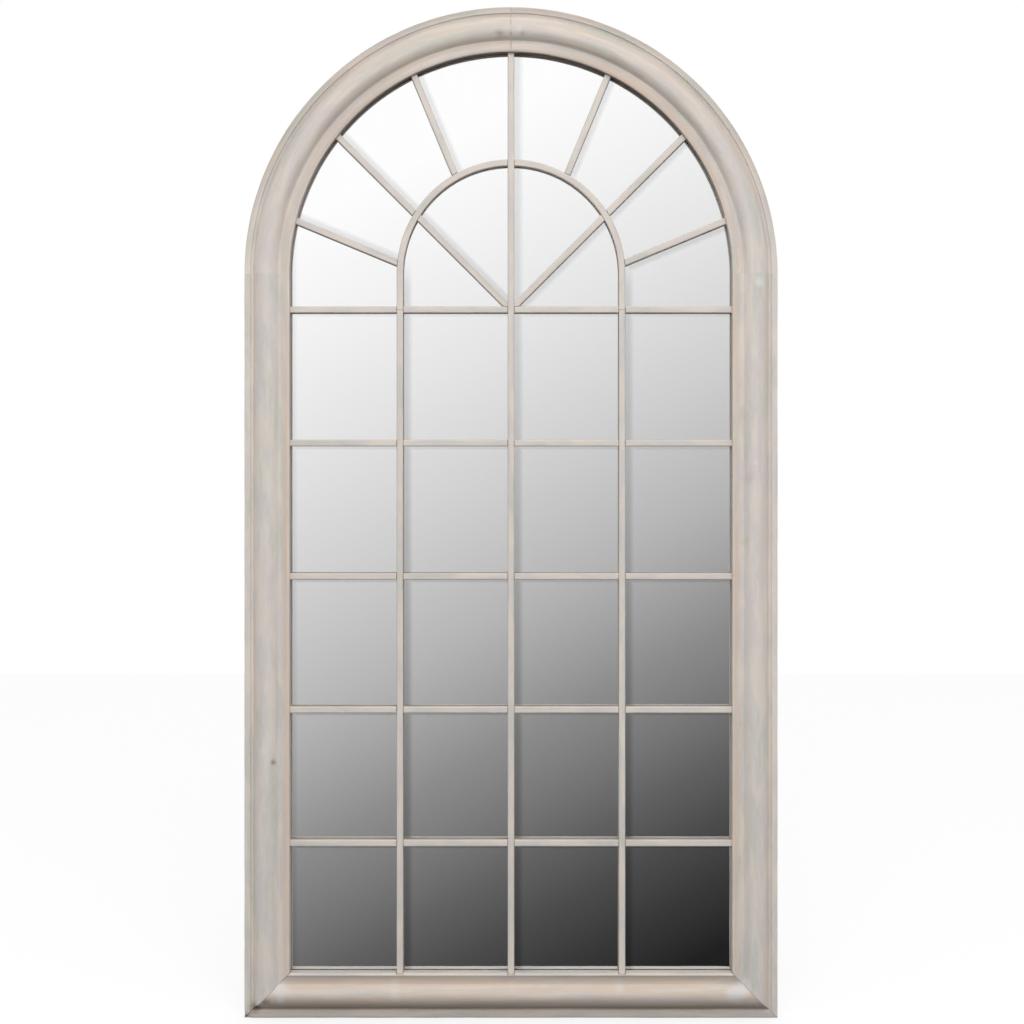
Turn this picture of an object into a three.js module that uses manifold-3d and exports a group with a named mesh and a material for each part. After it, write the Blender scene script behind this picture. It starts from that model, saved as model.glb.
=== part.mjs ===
// Arched window mirror: a wall mirror with a moulded wooden frame, a fan of
// glazing bars in its arch and a grid of glazing bars below it.
//
// Millimetres. X runs to the right, Z up, and the front faces -Y. The origin lies
// on the plane of the back, at the centre of the arch, on its springing line.
import * as THREE from 'three';
import { mergeVertices } from 'three/addons/utils/BufferGeometryUtils.js';
import Module from 'manifold-3d';

const wasm = await Module();
wasm.setup();

// ---------------------------------------------------------------- driving sizes

// Outline of the frame
const WIDTH = 800;
const HEIGHT = 1516;

// Section of the frame moulding, from its outer edge to the sight line
const RIM_WIDTH = 9;
const RIM_DEPTH = 20;
const RIM_ROUND = 2.5;
const OUTER_GROOVE_WIDTH = 4.5;
const OUTER_GROOVE_DEPTH = 17;
const ROLL_RISE = 22.5;
const ROLL_FALL = 14.5;
const ROLL_DEPTH = 35;
const INNER_GROOVE_DEPTH = 23.5;
const BEAD_WIDTH = 15.5;
const BEAD_DEPTH = 28;
const LIP_WIDTH = 3;
const LIP_DEPTH = 26;

// Mirror glass and back board, each in its own step of the rebate
const GLASS_THICKNESS = 4;
const GLASS_LAND = 10;
const GLASS_EDGE_CLEARANCE = 1.5;
const BOARD_THICKNESS = 4;
const BOARD_LAND = 14;
const BOARD_EDGE_CLEARANCE = 1;

// Glazing bars
const BAR_WIDTH = 10;
const BAR_DEPTH = 12;
const BAR_ROUND = 2;
const HOUSING_DEPTH = 3;
const SIDE_BAR_OFFSET = 166.5;
const SPRING_DROP = 54;
const ROW_PITCH = 200;
const ROW_COUNT = 5;
const FAN_STEP_DEG = 22.5;

// Dowels in the frame joints
const DOWEL_DIAMETER = 8;
const DOWEL_LENGTH = 36;
const DOWEL_DEPTH = 12;
const DOWEL_OUTER_INSET = 20;
const DOWEL_SPACING = 18;
const MITRE_DOWEL_LENGTH = 30;
const MITRE_DOWEL_INSET = 26;
const MITRE_DOWEL_SPACING = 15;

// Pan-head wood screws
const SCREW_SHANK = 3.2;
const SCREW_LENGTH = 14;
const SCREW_TIP = 4;
const SCREW_HEAD = 7;
const SCREW_HEAD_HEIGHT = 2.4;
const BOARD_SCREW_INSET = 7;
const BOARD_SCREW_ROWS = 5;
const BOARD_SCREW_END = 70;
const ARCH_SCREW_ANGLES_DEG = [30, 70, 110, 150];

// Hangers: a steel strap with a curled eye, and a D-ring that swings in it
const STRAP_WIDTH = 12;
const STRAP_THICKNESS = 1.2;
const STRAP_LENGTH = 46;
const STRAP_SCREW_END = 7;
const STRAP_SCREW_SPACING = 14;
const EYE_DROP = 18;
const EYE_CURL_DEG = 285;
const RING_WIRE = 2.8;
const RING_WIDTH = 21;
const RING_REACH = 18;
const RING_CORNER = 4;
const EYE_CLEARANCE = 0.25;

// Rubber bumpers that keep the foot of the mirror off the wall
const BUMPER_DIAMETER = 12;
const BUMPER_HEIGHT = 6;
const BUMPER_ROUND = 1.5;
const BUMPER_SIDE_INSET = 90;

// Gap left between pieces that are glued or that touch
const FIT = 0.3;

// How far a cut runs past the face that it opens
const OVERCUT = 1;

// Fineness of the curves
const ARCH_STEPS = 24;
const MOULDING_CURVE_STEPS = 5;
const BAR_CURVE_STEPS = 2;
const ROUND_SIDES = 12;
const SCREW_SIDES = 8;
const WIRE_SIDES = 8;
const WIRE_STEPS = 32;
const EYE_STEPS = 8;

// -------------------------------------------------------------- worked-out sizes

const ARCH_RADIUS = WIDTH / 2;
const BOTTOM = ARCH_RADIUS - HEIGHT;
const GROOVE_AT = RIM_WIDTH + OUTER_GROOVE_WIDTH;
const CREST_AT = GROOVE_AT + ROLL_RISE;
const ROLL_END_AT = CREST_AT + ROLL_FALL;
const BEAD_AT = ROLL_END_AT + BEAD_WIDTH;
const MOULDING_WIDTH = BEAD_AT + LIP_WIDTH;
const SIGHT_RADIUS = ARCH_RADIUS - MOULDING_WIDTH;
const SIGHT_BOTTOM = BOTTOM + MOULDING_WIDTH;
const GLASS_EDGE_AT = MOULDING_WIDTH - GLASS_LAND;
const BOARD_EDGE_AT = GLASS_EDGE_AT - BOARD_LAND;

// Depths are counted forwards from the plane of the back, as -y
const BOARD_FRONT = BOARD_THICKNESS;
const GLASS_BACK = BOARD_FRONT + FIT;
const GLASS_FRONT = GLASS_BACK + GLASS_THICKNESS;
const LIP_BACK = GLASS_FRONT + FIT;
const BAR_FRONT = LIP_BACK + BAR_DEPTH;
const LAP_PLANE = LIP_BACK + BAR_DEPTH / 2;
const IN_FRONT_OF_ALL = ROLL_DEPTH + BAR_DEPTH;

const ROW_HEIGHTS = Array.from({ length: ROW_COUNT }, (_, row) => -SPRING_DROP - row * ROW_PITCH);
const HUB_HEIGHT = ROW_HEIGHTS[0];
const BAR_REACH = SIGHT_RADIUS + HOUSING_DEPTH;

const EYE_INNER = RING_WIRE / 2 + EYE_CLEARANCE;
const EYE_OUTER = EYE_INNER + STRAP_THICKNESS;
const EYE_HEIGHT = FIT + EYE_OUTER;
const HANGER_SIDE = ARCH_RADIUS - BOARD_EDGE_AT / 2;
const STRAP_FOOT = -EYE_DROP - STRAP_LENGTH;

// --------------------------------------------------------------------- materials

function finish(color, roughness, metalness = 0) {
  return new THREE.MeshStandardMaterial({ color, roughness, metalness });
}

const whitewashedWood = finish(0xcdc3b9, 0.75);
const whitewashedBar = finish(0xc9bfb4, 0.7);
const bareWood = finish(0xc8a778, 0.8);
const fibreboard = finish(0x9a7550, 0.85);
const mirror = finish(0xe6ebec, 0.03, 1);
const zincPlatedSteel = finish(0xb9bcc0, 0.35, 1);
const rubber = finish(0x26262a, 0.9);

// ------------------------------------------------------------- solids and cutting

/** A closed geometry as a solid that can be joined and cut. */
function solid(geometry) {
  const bare = new THREE.BufferGeometry();
  bare.setAttribute('position', geometry.getAttribute('position'));
  if (geometry.index) bare.setIndex(geometry.index);
  const merged = mergeVertices(bare, 1e-4);
  return new wasm.Manifold(new wasm.Mesh({
    numProp: 3,
    vertProperties: Float32Array.from(merged.getAttribute('position').array),
    triVerts: dropFlat(merged.index.array),
  }));
}

/** Triangles whose three corners are different points. */
function dropFlat(indices) {
  const kept = [];
  for (let i = 0; i < indices.length; i += 3) {
    const [a, b, c] = [indices[i], indices[i + 1], indices[i + 2]];
    if (a !== b && b !== c && c !== a) kept.push(a, b, c);
  }
  return Uint32Array.from(kept);
}

/** A solid back as a geometry. */
function geometryOf(manifold) {
  const mesh = manifold.getMesh();
  const geometry = new THREE.BufferGeometry();
  const points = new Float32Array(mesh.numVert * 3);
  for (let i = 0; i < mesh.numVert; i += 1) {
    points.set(mesh.vertProperties.subarray(i * mesh.numProp, i * mesh.numProp + 3), i * 3);
  }
  geometry.setAttribute('position', new THREE.BufferAttribute(points, 3));
  geometry.setIndex(new THREE.BufferAttribute(Uint32Array.from(mesh.triVerts), 1));
  return geometry;
}

/** A box between two corners. */
function block(low, high) {
  const size = high.map((value, axis) => value - low[axis]);
  const middle = high.map((value, axis) => (value + low[axis]) / 2);
  return solid(new THREE.BoxGeometry(...size).translate(...middle));
}

/** A round rod from one point to another. */
function rod(diameter, from, to, sides = ROUND_SIDES) {
  const start = new THREE.Vector3(...from);
  const end = new THREE.Vector3(...to);
  const along = end.clone().sub(start);
  const geometry = new THREE.CylinderGeometry(diameter / 2, diameter / 2, along.length(), sides);
  const turn = new THREE.Quaternion().setFromUnitVectors(
    new THREE.Vector3(0, 1, 0), along.clone().normalize());
  geometry.applyQuaternion(turn);
  geometry.translate(...start.add(end).multiplyScalar(0.5).toArray());
  return geometry;
}

/** A disc-shaped slab about the arch centre, from one depth to another. */
function slab(radius, back, front, steps = 4 * ARCH_STEPS) {
  return solid(new THREE.CylinderGeometry(radius, radius, front - back, steps)
    .translate(0, -(front + back) / 2, 0));
}

/** A point on the fan ray that leaves the hub at an angle from upright. */
function onRay(angle, distance) {
  return [distance * Math.sin(angle), HUB_HEIGHT + distance * Math.cos(angle)];
}

/** How far along a fan ray a circle about the arch centre lies. */
function rayMeetsCircle(angle, radius) {
  const along = -HUB_HEIGHT * Math.cos(angle);
  const aside = HUB_HEIGHT * Math.sin(angle);
  return along + Math.sqrt(radius ** 2 - aside ** 2);
}

/** A box laid along a fan ray, between two distances and two depths. */
function rayBlock(angle, from, to, width, back, front) {
  const geometry = new THREE.BoxGeometry(width, front - back, to - from)
    .translate(0, -(front + back) / 2, (from + to) / 2)
    .rotateY(angle)
    .translate(0, 0, HUB_HEIGHT);
  return solid(geometry);
}

// ------------------------------------------------------------------------- sweeps

/** An arc in the plane of the back, about the arch centre or another one. */
class Arc extends THREE.Curve {
  constructor(radius, from, to, centre = [0, 0]) {
    super();
    Object.assign(this, { radius, from, to, centre });
  }

  getPoint(t, target = new THREE.Vector3()) {
    const angle = THREE.MathUtils.lerp(this.from, this.to, t);
    return target.set(
      this.centre[0] + this.radius * Math.cos(angle), 0,
      this.centre[1] + this.radius * Math.sin(angle));
  }

}

/**
 * A path in the plane of the back, made of stretches laid end to end. A section
 * swept along it keeps its x pointing forwards, and its y to the right of the way
 * that the path runs, as seen from the front.
 */
class FlatPath extends THREE.CurvePath {
  constructor(...stretches) {
    super();
    stretches.forEach((stretch) => this.add(stretch));
  }

  computeFrenetFrames(steps) {
    const forwards = new THREE.Vector3(0, -1, 0);
    const tangents = Array.from({ length: steps + 1 }, (_, i) => this.getTangent(i / steps));
    return {
      tangents,
      normals: tangents.map(() => forwards.clone()),
      binormals: tangents.map((tangent) => tangent.clone().cross(forwards)),
    };
  }
}

/** A straight stretch in the plane of the back, between two (x, z) points. */
function straight(from, to) {
  return new THREE.LineCurve3(
    new THREE.Vector3(from[0], 0, from[1]), new THREE.Vector3(to[0], 0, to[1]));
}

/** A section, drawn as (depth, width), swept in some steps along one stretch or more. */
function sweep({ section, curveSegments }, steps, ...stretches) {
  const extrudePath = new FlatPath(...stretches);
  return solid(new THREE.ExtrudeGeometry(section, {
    extrudePath, steps, curveSegments, bevelEnabled: false,
  }));
}

/**
 * Section of the frame moulding: a rounded rim, a groove, the big roll that rises
 * gently and falls steeply, a second groove, the bead with its square lip, and
 * behind them the two steps of the rebate.
 */
function mouldingSection() {
  const section = new THREE.Shape();
  const to = (across, depth) => section.lineTo(depth, across);
  const curve = (across1, depth1, across2, depth2, across, depth) =>
    section.bezierCurveTo(depth1, across1, depth2, across2, depth, across);
  section.moveTo(0, 0);
  to(0, RIM_DEPTH - RIM_ROUND);
  section.quadraticCurveTo(RIM_DEPTH, 0, RIM_DEPTH, RIM_ROUND);
  to(RIM_WIDTH, RIM_DEPTH);
  section.quadraticCurveTo(OUTER_GROOVE_DEPTH, RIM_WIDTH, OUTER_GROOVE_DEPTH, GROOVE_AT);
  curve(GROOVE_AT + ROLL_RISE * 0.25, (OUTER_GROOVE_DEPTH + ROLL_DEPTH) / 2,
    CREST_AT - ROLL_RISE * 0.4, ROLL_DEPTH, CREST_AT, ROLL_DEPTH);
  curve(CREST_AT + ROLL_FALL * 0.55, ROLL_DEPTH,
    ROLL_END_AT - ROLL_FALL * 0.12, (ROLL_DEPTH + INNER_GROOVE_DEPTH) / 2,
    ROLL_END_AT, INNER_GROOVE_DEPTH);
  curve(ROLL_END_AT + BEAD_WIDTH * 0.3, INNER_GROOVE_DEPTH,
    BEAD_AT - BEAD_WIDTH * 0.3, BEAD_DEPTH, BEAD_AT, BEAD_DEPTH);
  section.quadraticCurveTo(BEAD_DEPTH, MOULDING_WIDTH - LIP_WIDTH * 0.2, LIP_DEPTH, MOULDING_WIDTH);
  to(MOULDING_WIDTH, LIP_BACK);
  to(GLASS_EDGE_AT, LIP_BACK);
  to(GLASS_EDGE_AT, GLASS_BACK);
  to(BOARD_EDGE_AT, GLASS_BACK);
  to(BOARD_EDGE_AT, 0);
  section.closePath();
  return { section, curveSegments: MOULDING_CURVE_STEPS };
}

/** Section of a glazing bar, about the middle of its width, with its front edges rounded. */
function barSection() {
  const half = BAR_WIDTH / 2;
  const section = new THREE.Shape();
  section.moveTo(LIP_BACK, -half);
  section.lineTo(BAR_FRONT - BAR_ROUND, -half);
  section.quadraticCurveTo(BAR_FRONT, -half, BAR_FRONT, -half + BAR_ROUND);
  section.lineTo(BAR_FRONT, half - BAR_ROUND);
  section.quadraticCurveTo(BAR_FRONT, half, BAR_FRONT - BAR_ROUND, half);
  section.lineTo(LIP_BACK, half);
  section.closePath();
  return { section, curveSegments: BAR_CURVE_STEPS };
}

// -------------------------------------------------------------------- the assembly

const assembly = new THREE.Group();

/** Adds a piece under its name; a solid is turned back into a geometry first. */
function place(name, shape, material, parent = assembly) {
  const geometry = shape.isBufferGeometry ? shape : geometryOf(shape);
  const mesh = new THREE.Mesh(geometry, material);
  mesh.name = name;
  parent.add(mesh);
  return mesh;
}

// ---------------------------------------------------------------- glazing bars

const fanAngle = (step) => THREE.MathUtils.degToRad(step * FAN_STEP_DEG);
const DIAGONAL = 2;
const FAN_RAYS = [
  { name: 'fan_bar_left_low', step: -3 },
  { name: 'fan_bar_left_diagonal', step: -DIAGONAL },
  { name: 'fan_bar_left_high', step: -1 },
  { name: 'fan_bar_right_high', step: 1 },
  { name: 'fan_bar_right_diagonal', step: DIAGONAL },
  { name: 'fan_bar_right_low', step: 3 },
];

const HALF_SLOT = BAR_WIDTH / 2 + FIT;
const ARCH_BAR_OUTER = SIDE_BAR_OFFSET + HALF_SLOT;
const ARCH_BAR_INNER = SIDE_BAR_OFFSET - HALF_SLOT;
const rearHalf = [0, LAP_PLANE + FIT / 2];
const frontHalf = [LAP_PLANE - FIT / 2, IN_FRONT_OF_ALL];

/** Slots that an upright, a cross bar and the arch bar leave in what they cross. */
const uprightSlot = (x, [back, front], low = BOTTOM, high = ARCH_RADIUS) =>
  block([x - HALF_SLOT, -front, low], [x + HALF_SLOT, -back, high]);
const crossSlot = (z, [back, front]) =>
  block([-ARCH_RADIUS, -front, z - HALF_SLOT], [ARCH_RADIUS, -back, z + HALF_SLOT]);
const archBarSlot = ([back, front]) =>
  slab(ARCH_BAR_OUTER, back, front).subtract(
    slab(ARCH_BAR_INNER, back - OVERCUT, front + OVERCUT));

function makeUprights() {
  const foot = SIGHT_BOTTOM - HOUSING_DEPTH + FIT;
  let centre = sweep(barSection(), 1, straight([0, foot], [0, BAR_REACH - FIT]));
  for (const z of ROW_HEIGHTS) centre = centre.subtract(crossSlot(z, rearHalf));
  centre = centre.subtract(archBarSlot(rearHalf).subtract(
    block([-ARCH_RADIUS, -IN_FRONT_OF_ALL, -ARCH_RADIUS], [ARCH_RADIUS, OVERCUT, 0])));
  place('upright_bar_centre', centre, whitewashedBar);

  for (const [name, x] of [['left', -SIDE_BAR_OFFSET], ['right', SIDE_BAR_OFFSET]]) {
    let bar = sweep(barSection(), 1, straight([x, foot], [x, HUB_HEIGHT - FIT / 2]));
    for (const z of ROW_HEIGHTS) bar = bar.subtract(crossSlot(z, rearHalf));
    place(`upright_bar_${name}`, bar, whitewashedBar);
  }
}

function makeCrossBars() {
  ROW_HEIGHTS.forEach((z, row) => {
    let bar = sweep(barSection(), 1, straight([-BAR_REACH + FIT, z], [BAR_REACH - FIT, z]));
    for (const x of [-SIDE_BAR_OFFSET, 0, SIDE_BAR_OFFSET]) {
      bar = bar.subtract(uprightSlot(x, frontHalf));
    }
    place(`cross_bar_${row + 1}`, bar, whitewashedBar);
  });
}

/** The inner arch bar: half a ring on two legs that lap the top cross bar. */
function makeArchBar() {
  const foot = HUB_HEIGHT + FIT / 2;
  let bar = sweep(
    barSection(), 3 * ARCH_STEPS,
    straight([-SIDE_BAR_OFFSET, foot], [-SIDE_BAR_OFFSET, 0]),
    new Arc(SIDE_BAR_OFFSET, Math.PI, 0),
    straight([SIDE_BAR_OFFSET, 0], [SIDE_BAR_OFFSET, foot]));
  bar = bar.subtract(crossSlot(HUB_HEIGHT, rearHalf));
  bar = bar.subtract(uprightSlot(0, frontHalf));
  for (const side of [-1, 1]) {
    const angle = side * fanAngle(DIAGONAL);
    bar = bar.subtract(rayBlock(angle, 0, ARCH_RADIUS, 2 * HALF_SLOT, ...rearHalf));
  }
  place('arch_bar', bar, whitewashedBar);
}

function makeFanBars() {
  for (const { name, step } of FAN_RAYS) {
    const angle = fanAngle(step);
    const end = rayMeetsCircle(angle, BAR_REACH - FIT);
    let bar = sweep(barSection(), 1, straight(onRay(angle, 0), onRay(angle, end)));
    if (Math.abs(step) === DIAGONAL) {
      bar = bar.subtract(archBarSlot(frontHalf));
      bar = bar.subtract(uprightSlot(0, [0, IN_FRONT_OF_ALL]));
      bar = bar.subtract(crossSlot(HUB_HEIGHT, [0, IN_FRONT_OF_ALL]));
    } else {
      bar = bar.subtract(slab(ARCH_BAR_OUTER, 0, IN_FRONT_OF_ALL));
    }
    place(name, bar, whitewashedBar);
  }
}

// ------------------------------------------------------------------------ frame

/** Housings in the inner lip that take the ends of the glazing bars. */
function barHousings() {
  const back = LIP_BACK - OVERCUT;
  const front = IN_FRONT_OF_ALL;
  const housings = ROW_HEIGHTS.map((z) => block(
    [-BAR_REACH, -front, z - HALF_SLOT], [BAR_REACH, -back, z + HALF_SLOT]));
  for (const x of [-SIDE_BAR_OFFSET, 0, SIDE_BAR_OFFSET]) {
    housings.push(block(
      [x - HALF_SLOT, -front, SIGHT_BOTTOM - HOUSING_DEPTH], [x + HALF_SLOT, -back, HUB_HEIGHT]));
  }
  for (const step of [0, ...FAN_RAYS.map((ray) => ray.step)]) {
    const angle = fanAngle(step);
    const end = rayMeetsCircle(angle, BAR_REACH);
    housings.push(rayBlock(angle, SIDE_BAR_OFFSET, end, 2 * HALF_SLOT, back, front));
  }
  return wasm.Manifold.union(housings);
}

/** The two dowels of one joint: middle points, the way they run, and their length. */
function dowelPair(name, middles, along, length) {
  const ends = middles.map(([x, z]) => {
    const reach = (sign, extra = 0) => [
      x + sign * along[0] * (length / 2 + extra), -DOWEL_DEPTH,
      z + sign * along[1] * (length / 2 + extra)];
    return { from: reach(-1), to: reach(1), holeFrom: reach(-1, FIT), holeTo: reach(1, FIT) };
  });
  return { name, ends };
}

const outerLine = ARCH_RADIUS - DOWEL_OUTER_INSET;
const innerLine = outerLine - DOWEL_SPACING;
const mitreInsets = [MITRE_DOWEL_INSET, MITRE_DOWEL_INSET + MITRE_DOWEL_SPACING];
const DOWEL_JOINTS = [
  dowelPair('apex', [[0, outerLine], [0, innerLine]], [1, 0], DOWEL_LENGTH),
];
for (const [name, side] of [['left', -1], ['right', 1]]) {
  DOWEL_JOINTS.push(dowelPair(
    `spring_${name}`, [[side * outerLine, 0], [side * innerLine, 0]], [0, 1], DOWEL_LENGTH));
  DOWEL_JOINTS.push(dowelPair(
    `mitre_${name}`, mitreInsets.map((inset) => [side * (ARCH_RADIUS - inset), BOTTOM + inset]),
    [side * Math.SQRT1_2, Math.SQRT1_2], MITRE_DOWEL_LENGTH));
}

function makeDowels() {
  for (const { name, ends } of DOWEL_JOINTS) {
    ends.forEach(({ from, to }, index) => {
      const line = index === 0 ? 'outer' : 'inner';
      place(`dowel_${name}_${line}`, rod(DOWEL_DIAMETER, from, to), bareWood);
    });
  }
}

function dowelHoles() {
  const holes = DOWEL_JOINTS.flatMap(({ ends }) => ends.map(
    ({ holeFrom, holeTo }) => solid(rod(DOWEL_DIAMETER + 2 * FIT, holeFrom, holeTo))));
  return wasm.Manifold.union(holes);
}

// ------------------------------------------------------------------------ screws

/** Where the board is screwed to the frame, as (x, z) points. */
function boardScrewPlaces() {
  const radius = ARCH_RADIUS - BOARD_EDGE_AT - BOARD_SCREW_INSET;
  const places = ARCH_SCREW_ANGLES_DEG.map((degrees) => {
    const angle = THREE.MathUtils.degToRad(degrees);
    return [-radius * Math.cos(angle), radius * Math.sin(angle)];
  });
  const lowest = BOTTOM + BOARD_EDGE_AT + BOARD_SCREW_INSET;
  const pitch = (-BOARD_SCREW_END - (lowest + BOARD_SCREW_END)) / (BOARD_SCREW_ROWS - 1);
  for (let row = 0; row < BOARD_SCREW_ROWS; row += 1) {
    const z = -BOARD_SCREW_END - row * pitch;
    places.push([-radius, z], [radius, z]);
  }
  places.push([0, lowest]);
  return places;
}

/** A screw driven forwards from the back, its head resting on a face at this height. */
function screw(x, z, seat) {
  const shank = SCREW_SHANK / 2;
  const head = SCREW_HEAD / 2;
  const outline = [
    [0, -SCREW_LENGTH], [shank, -SCREW_LENGTH + SCREW_TIP], [shank, 0], [head, 0],
    [head, SCREW_HEAD_HEIGHT * 0.35], [head * 0.72, SCREW_HEAD_HEIGHT * 0.85],
    [0, SCREW_HEAD_HEIGHT],
  ].map(([radius, height]) => new THREE.Vector2(radius, height));
  return new THREE.LatheGeometry(outline, SCREW_SIDES).translate(x, seat, z);
}

/** The hole that a screw's shank fills, from its seat down into the wood. */
function screwHole(x, z, seat) {
  const depth = SCREW_LENGTH + FIT - seat;
  return solid(rod(SCREW_SHANK + 2 * FIT, [x, seat + OVERCUT, z], [x, -depth, z], SCREW_SIDES));
}

function strapScrewPlaces(side) {
  return [0, 1].map((index) =>
    [side * HANGER_SIDE, STRAP_FOOT + STRAP_SCREW_END + index * STRAP_SCREW_SPACING]);
}

const BOARD_SEAT = FIT;
const STRAP_SEAT = 2 * FIT + STRAP_THICKNESS;

function makeBoardScrews() {
  boardScrewPlaces().forEach(([x, z], index) => {
    const number = String(index + 1).padStart(2, '0');
    place(`board_screw_${number}`, screw(x, z, BOARD_SEAT), zincPlatedSteel);
  });
}

function allScrewHoles() {
  const holes = boardScrewPlaces().map(([x, z]) => screwHole(x, z, BOARD_SEAT));
  for (const side of [-1, 1]) {
    for (const [x, z] of strapScrewPlaces(side)) holes.push(screwHole(x, z, STRAP_SEAT));
  }
  return wasm.Manifold.union(holes);
}

// ------------------------------------------------------------------ frame members

function makeFrame() {
  const section = mouldingSection();
  const cuts = wasm.Manifold.union([barHousings(), dowelHoles(), allScrewHoles()]);

  const quadrants = [
    ['frame_arch_left', new Arc(ARCH_RADIUS, Math.PI, Math.PI / 2)],
    ['frame_arch_right', new Arc(ARCH_RADIUS, Math.PI / 2, 0)],
  ];
  const half = FIT / 2;
  const apexGap = block(
    [-half, -IN_FRONT_OF_ALL, 0], [half, OVERCUT, ARCH_RADIUS + OVERCUT]);
  const springGap = block([-WIDTH, -IN_FRONT_OF_ALL, -half], [WIDTH, OVERCUT, half]);
  for (const [name, arc] of quadrants) {
    const member = sweep(section, ARCH_STEPS, arc).subtract(apexGap).subtract(springGap);
    place(name, member.subtract(cuts), whitewashedWood);
  }

  // The stiles and the rail are cut square and too long, and then mitred.
  const stiles = [
    ['frame_stile_left', straight([-ARCH_RADIUS, BOTTOM], [-ARCH_RADIUS, 0]), -1],
    ['frame_stile_right', straight([ARCH_RADIUS, 0], [ARCH_RADIUS, BOTTOM]), 1],
  ];
  for (const [name, line, side] of stiles) {
    const member = sweep(section, 1, line).subtract(springGap).subtract(mitreWedge(side, true));
    place(name, member.subtract(cuts), whitewashedWood);
  }
  let rail = sweep(section, 1, straight([ARCH_RADIUS, BOTTOM], [-ARCH_RADIUS, BOTTOM]));
  for (const side of [-1, 1]) rail = rail.subtract(mitreWedge(side, false));
  place('frame_rail_bottom', rail.subtract(cuts), whitewashedWood);
}

/** What the mitre takes off a stile (below its line) or off the rail (above it). */
function mitreWedge(side, belowTheLine) {
  const size = 4 * MOULDING_WIDTH;
  const sense = belowTheLine ? -1 : 1;
  const geometry = new THREE.BoxGeometry(size, 4 * IN_FRONT_OF_ALL, size)
    .translate(0, 0, sense * (size / 2 - FIT / 2))
    .rotateY(side * Math.PI / 4)
    .translate(side * ARCH_RADIUS, 0, BOTTOM);
  return solid(geometry);
}

// ------------------------------------------------------------- glass, board, feet

/** An arched sheet that keeps this distance from the frame's outer edge. */
function archedSheet(inset, back, front) {
  const half = ARCH_RADIUS - inset;
  const outline = new THREE.Shape();
  outline.moveTo(-half, BOTTOM + inset);
  outline.lineTo(half, BOTTOM + inset);
  outline.absarc(0, 0, half, 0, Math.PI, false);
  outline.closePath();
  return new THREE.ExtrudeGeometry(outline, {
    depth: front - back, curveSegments: ARCH_STEPS, bevelEnabled: false,
  }).rotateX(Math.PI / 2).translate(0, -back, 0);
}

function makeGlassAndBoard() {
  place('mirror_glass', archedSheet(
    GLASS_EDGE_AT + GLASS_EDGE_CLEARANCE, GLASS_BACK, GLASS_FRONT), mirror);
  const board = solid(archedSheet(BOARD_EDGE_AT + BOARD_EDGE_CLEARANCE, 0, BOARD_FRONT));
  place('back_board', board.subtract(allScrewHoles()), fibreboard);
}

function makeBumpers() {
  const radius = BUMPER_DIAMETER / 2;
  const outline = [
    [0, 0], [radius, 0], [radius, BUMPER_HEIGHT - BUMPER_ROUND],
    [radius - BUMPER_ROUND, BUMPER_HEIGHT], [0, BUMPER_HEIGHT],
  ].map(([across, height]) => new THREE.Vector2(across, height));
  for (const [name, side] of [['left', -1], ['right', 1]]) {
    const geometry = new THREE.LatheGeometry(outline, ROUND_SIDES)
      .translate(side * (ARCH_RADIUS - BUMPER_SIDE_INSET), FIT, BOTTOM + BOARD_EDGE_AT / 2);
    place(`bumper_${name}`, geometry, rubber);
  }
}

// ------------------------------------------------------------------------ hangers

/** Side view of the strap: flat on the frame, its top end curled into an eye. */
function strapSection() {
  const start = -Math.PI / 2;
  const end = start + THREE.MathUtils.degToRad(EYE_CURL_DEG);
  const section = new THREE.Shape();
  section.moveTo(STRAP_FOOT, FIT);
  section.absarc(-EYE_DROP, EYE_HEIGHT, EYE_OUTER, start, end, false);
  section.absarc(-EYE_DROP, EYE_HEIGHT, EYE_INNER, end, start, true);
  section.lineTo(STRAP_FOOT, FIT + STRAP_THICKNESS);
  section.closePath();
  return section;
}

function makeHangers() {
  for (const [name, side] of [['left', -1], ['right', 1]]) {
    const x = side * HANGER_SIDE;
    // Drawn with z across and y up, then stood upright and pushed along X.
    const strap = new THREE.ExtrudeGeometry(strapSection(), {
      depth: STRAP_WIDTH, curveSegments: EYE_STEPS, bevelEnabled: false,
    }).rotateY(-Math.PI / 2).translate(x + STRAP_WIDTH / 2, 0, 0);
    let plate = solid(strap);
    for (const [sx, sz] of strapScrewPlaces(side)) {
      plate = plate.subtract(screwHole(sx, sz, STRAP_SEAT));
    }
    place(`hanger_strap_${name}`, plate, zincPlatedSteel);
    strapScrewPlaces(side).forEach(([sx, sz], index) => {
      const end = index === 0 ? 'lower' : 'upper';
      place(`hanger_screw_${name}_${end}`, screw(sx, sz, STRAP_SEAT), zincPlatedSteel);
    });
    place(`hanger_ring_${name}`, ringGeometry().translate(x, EYE_HEIGHT, -EYE_DROP),
      zincPlatedSteel);
  }
}

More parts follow.
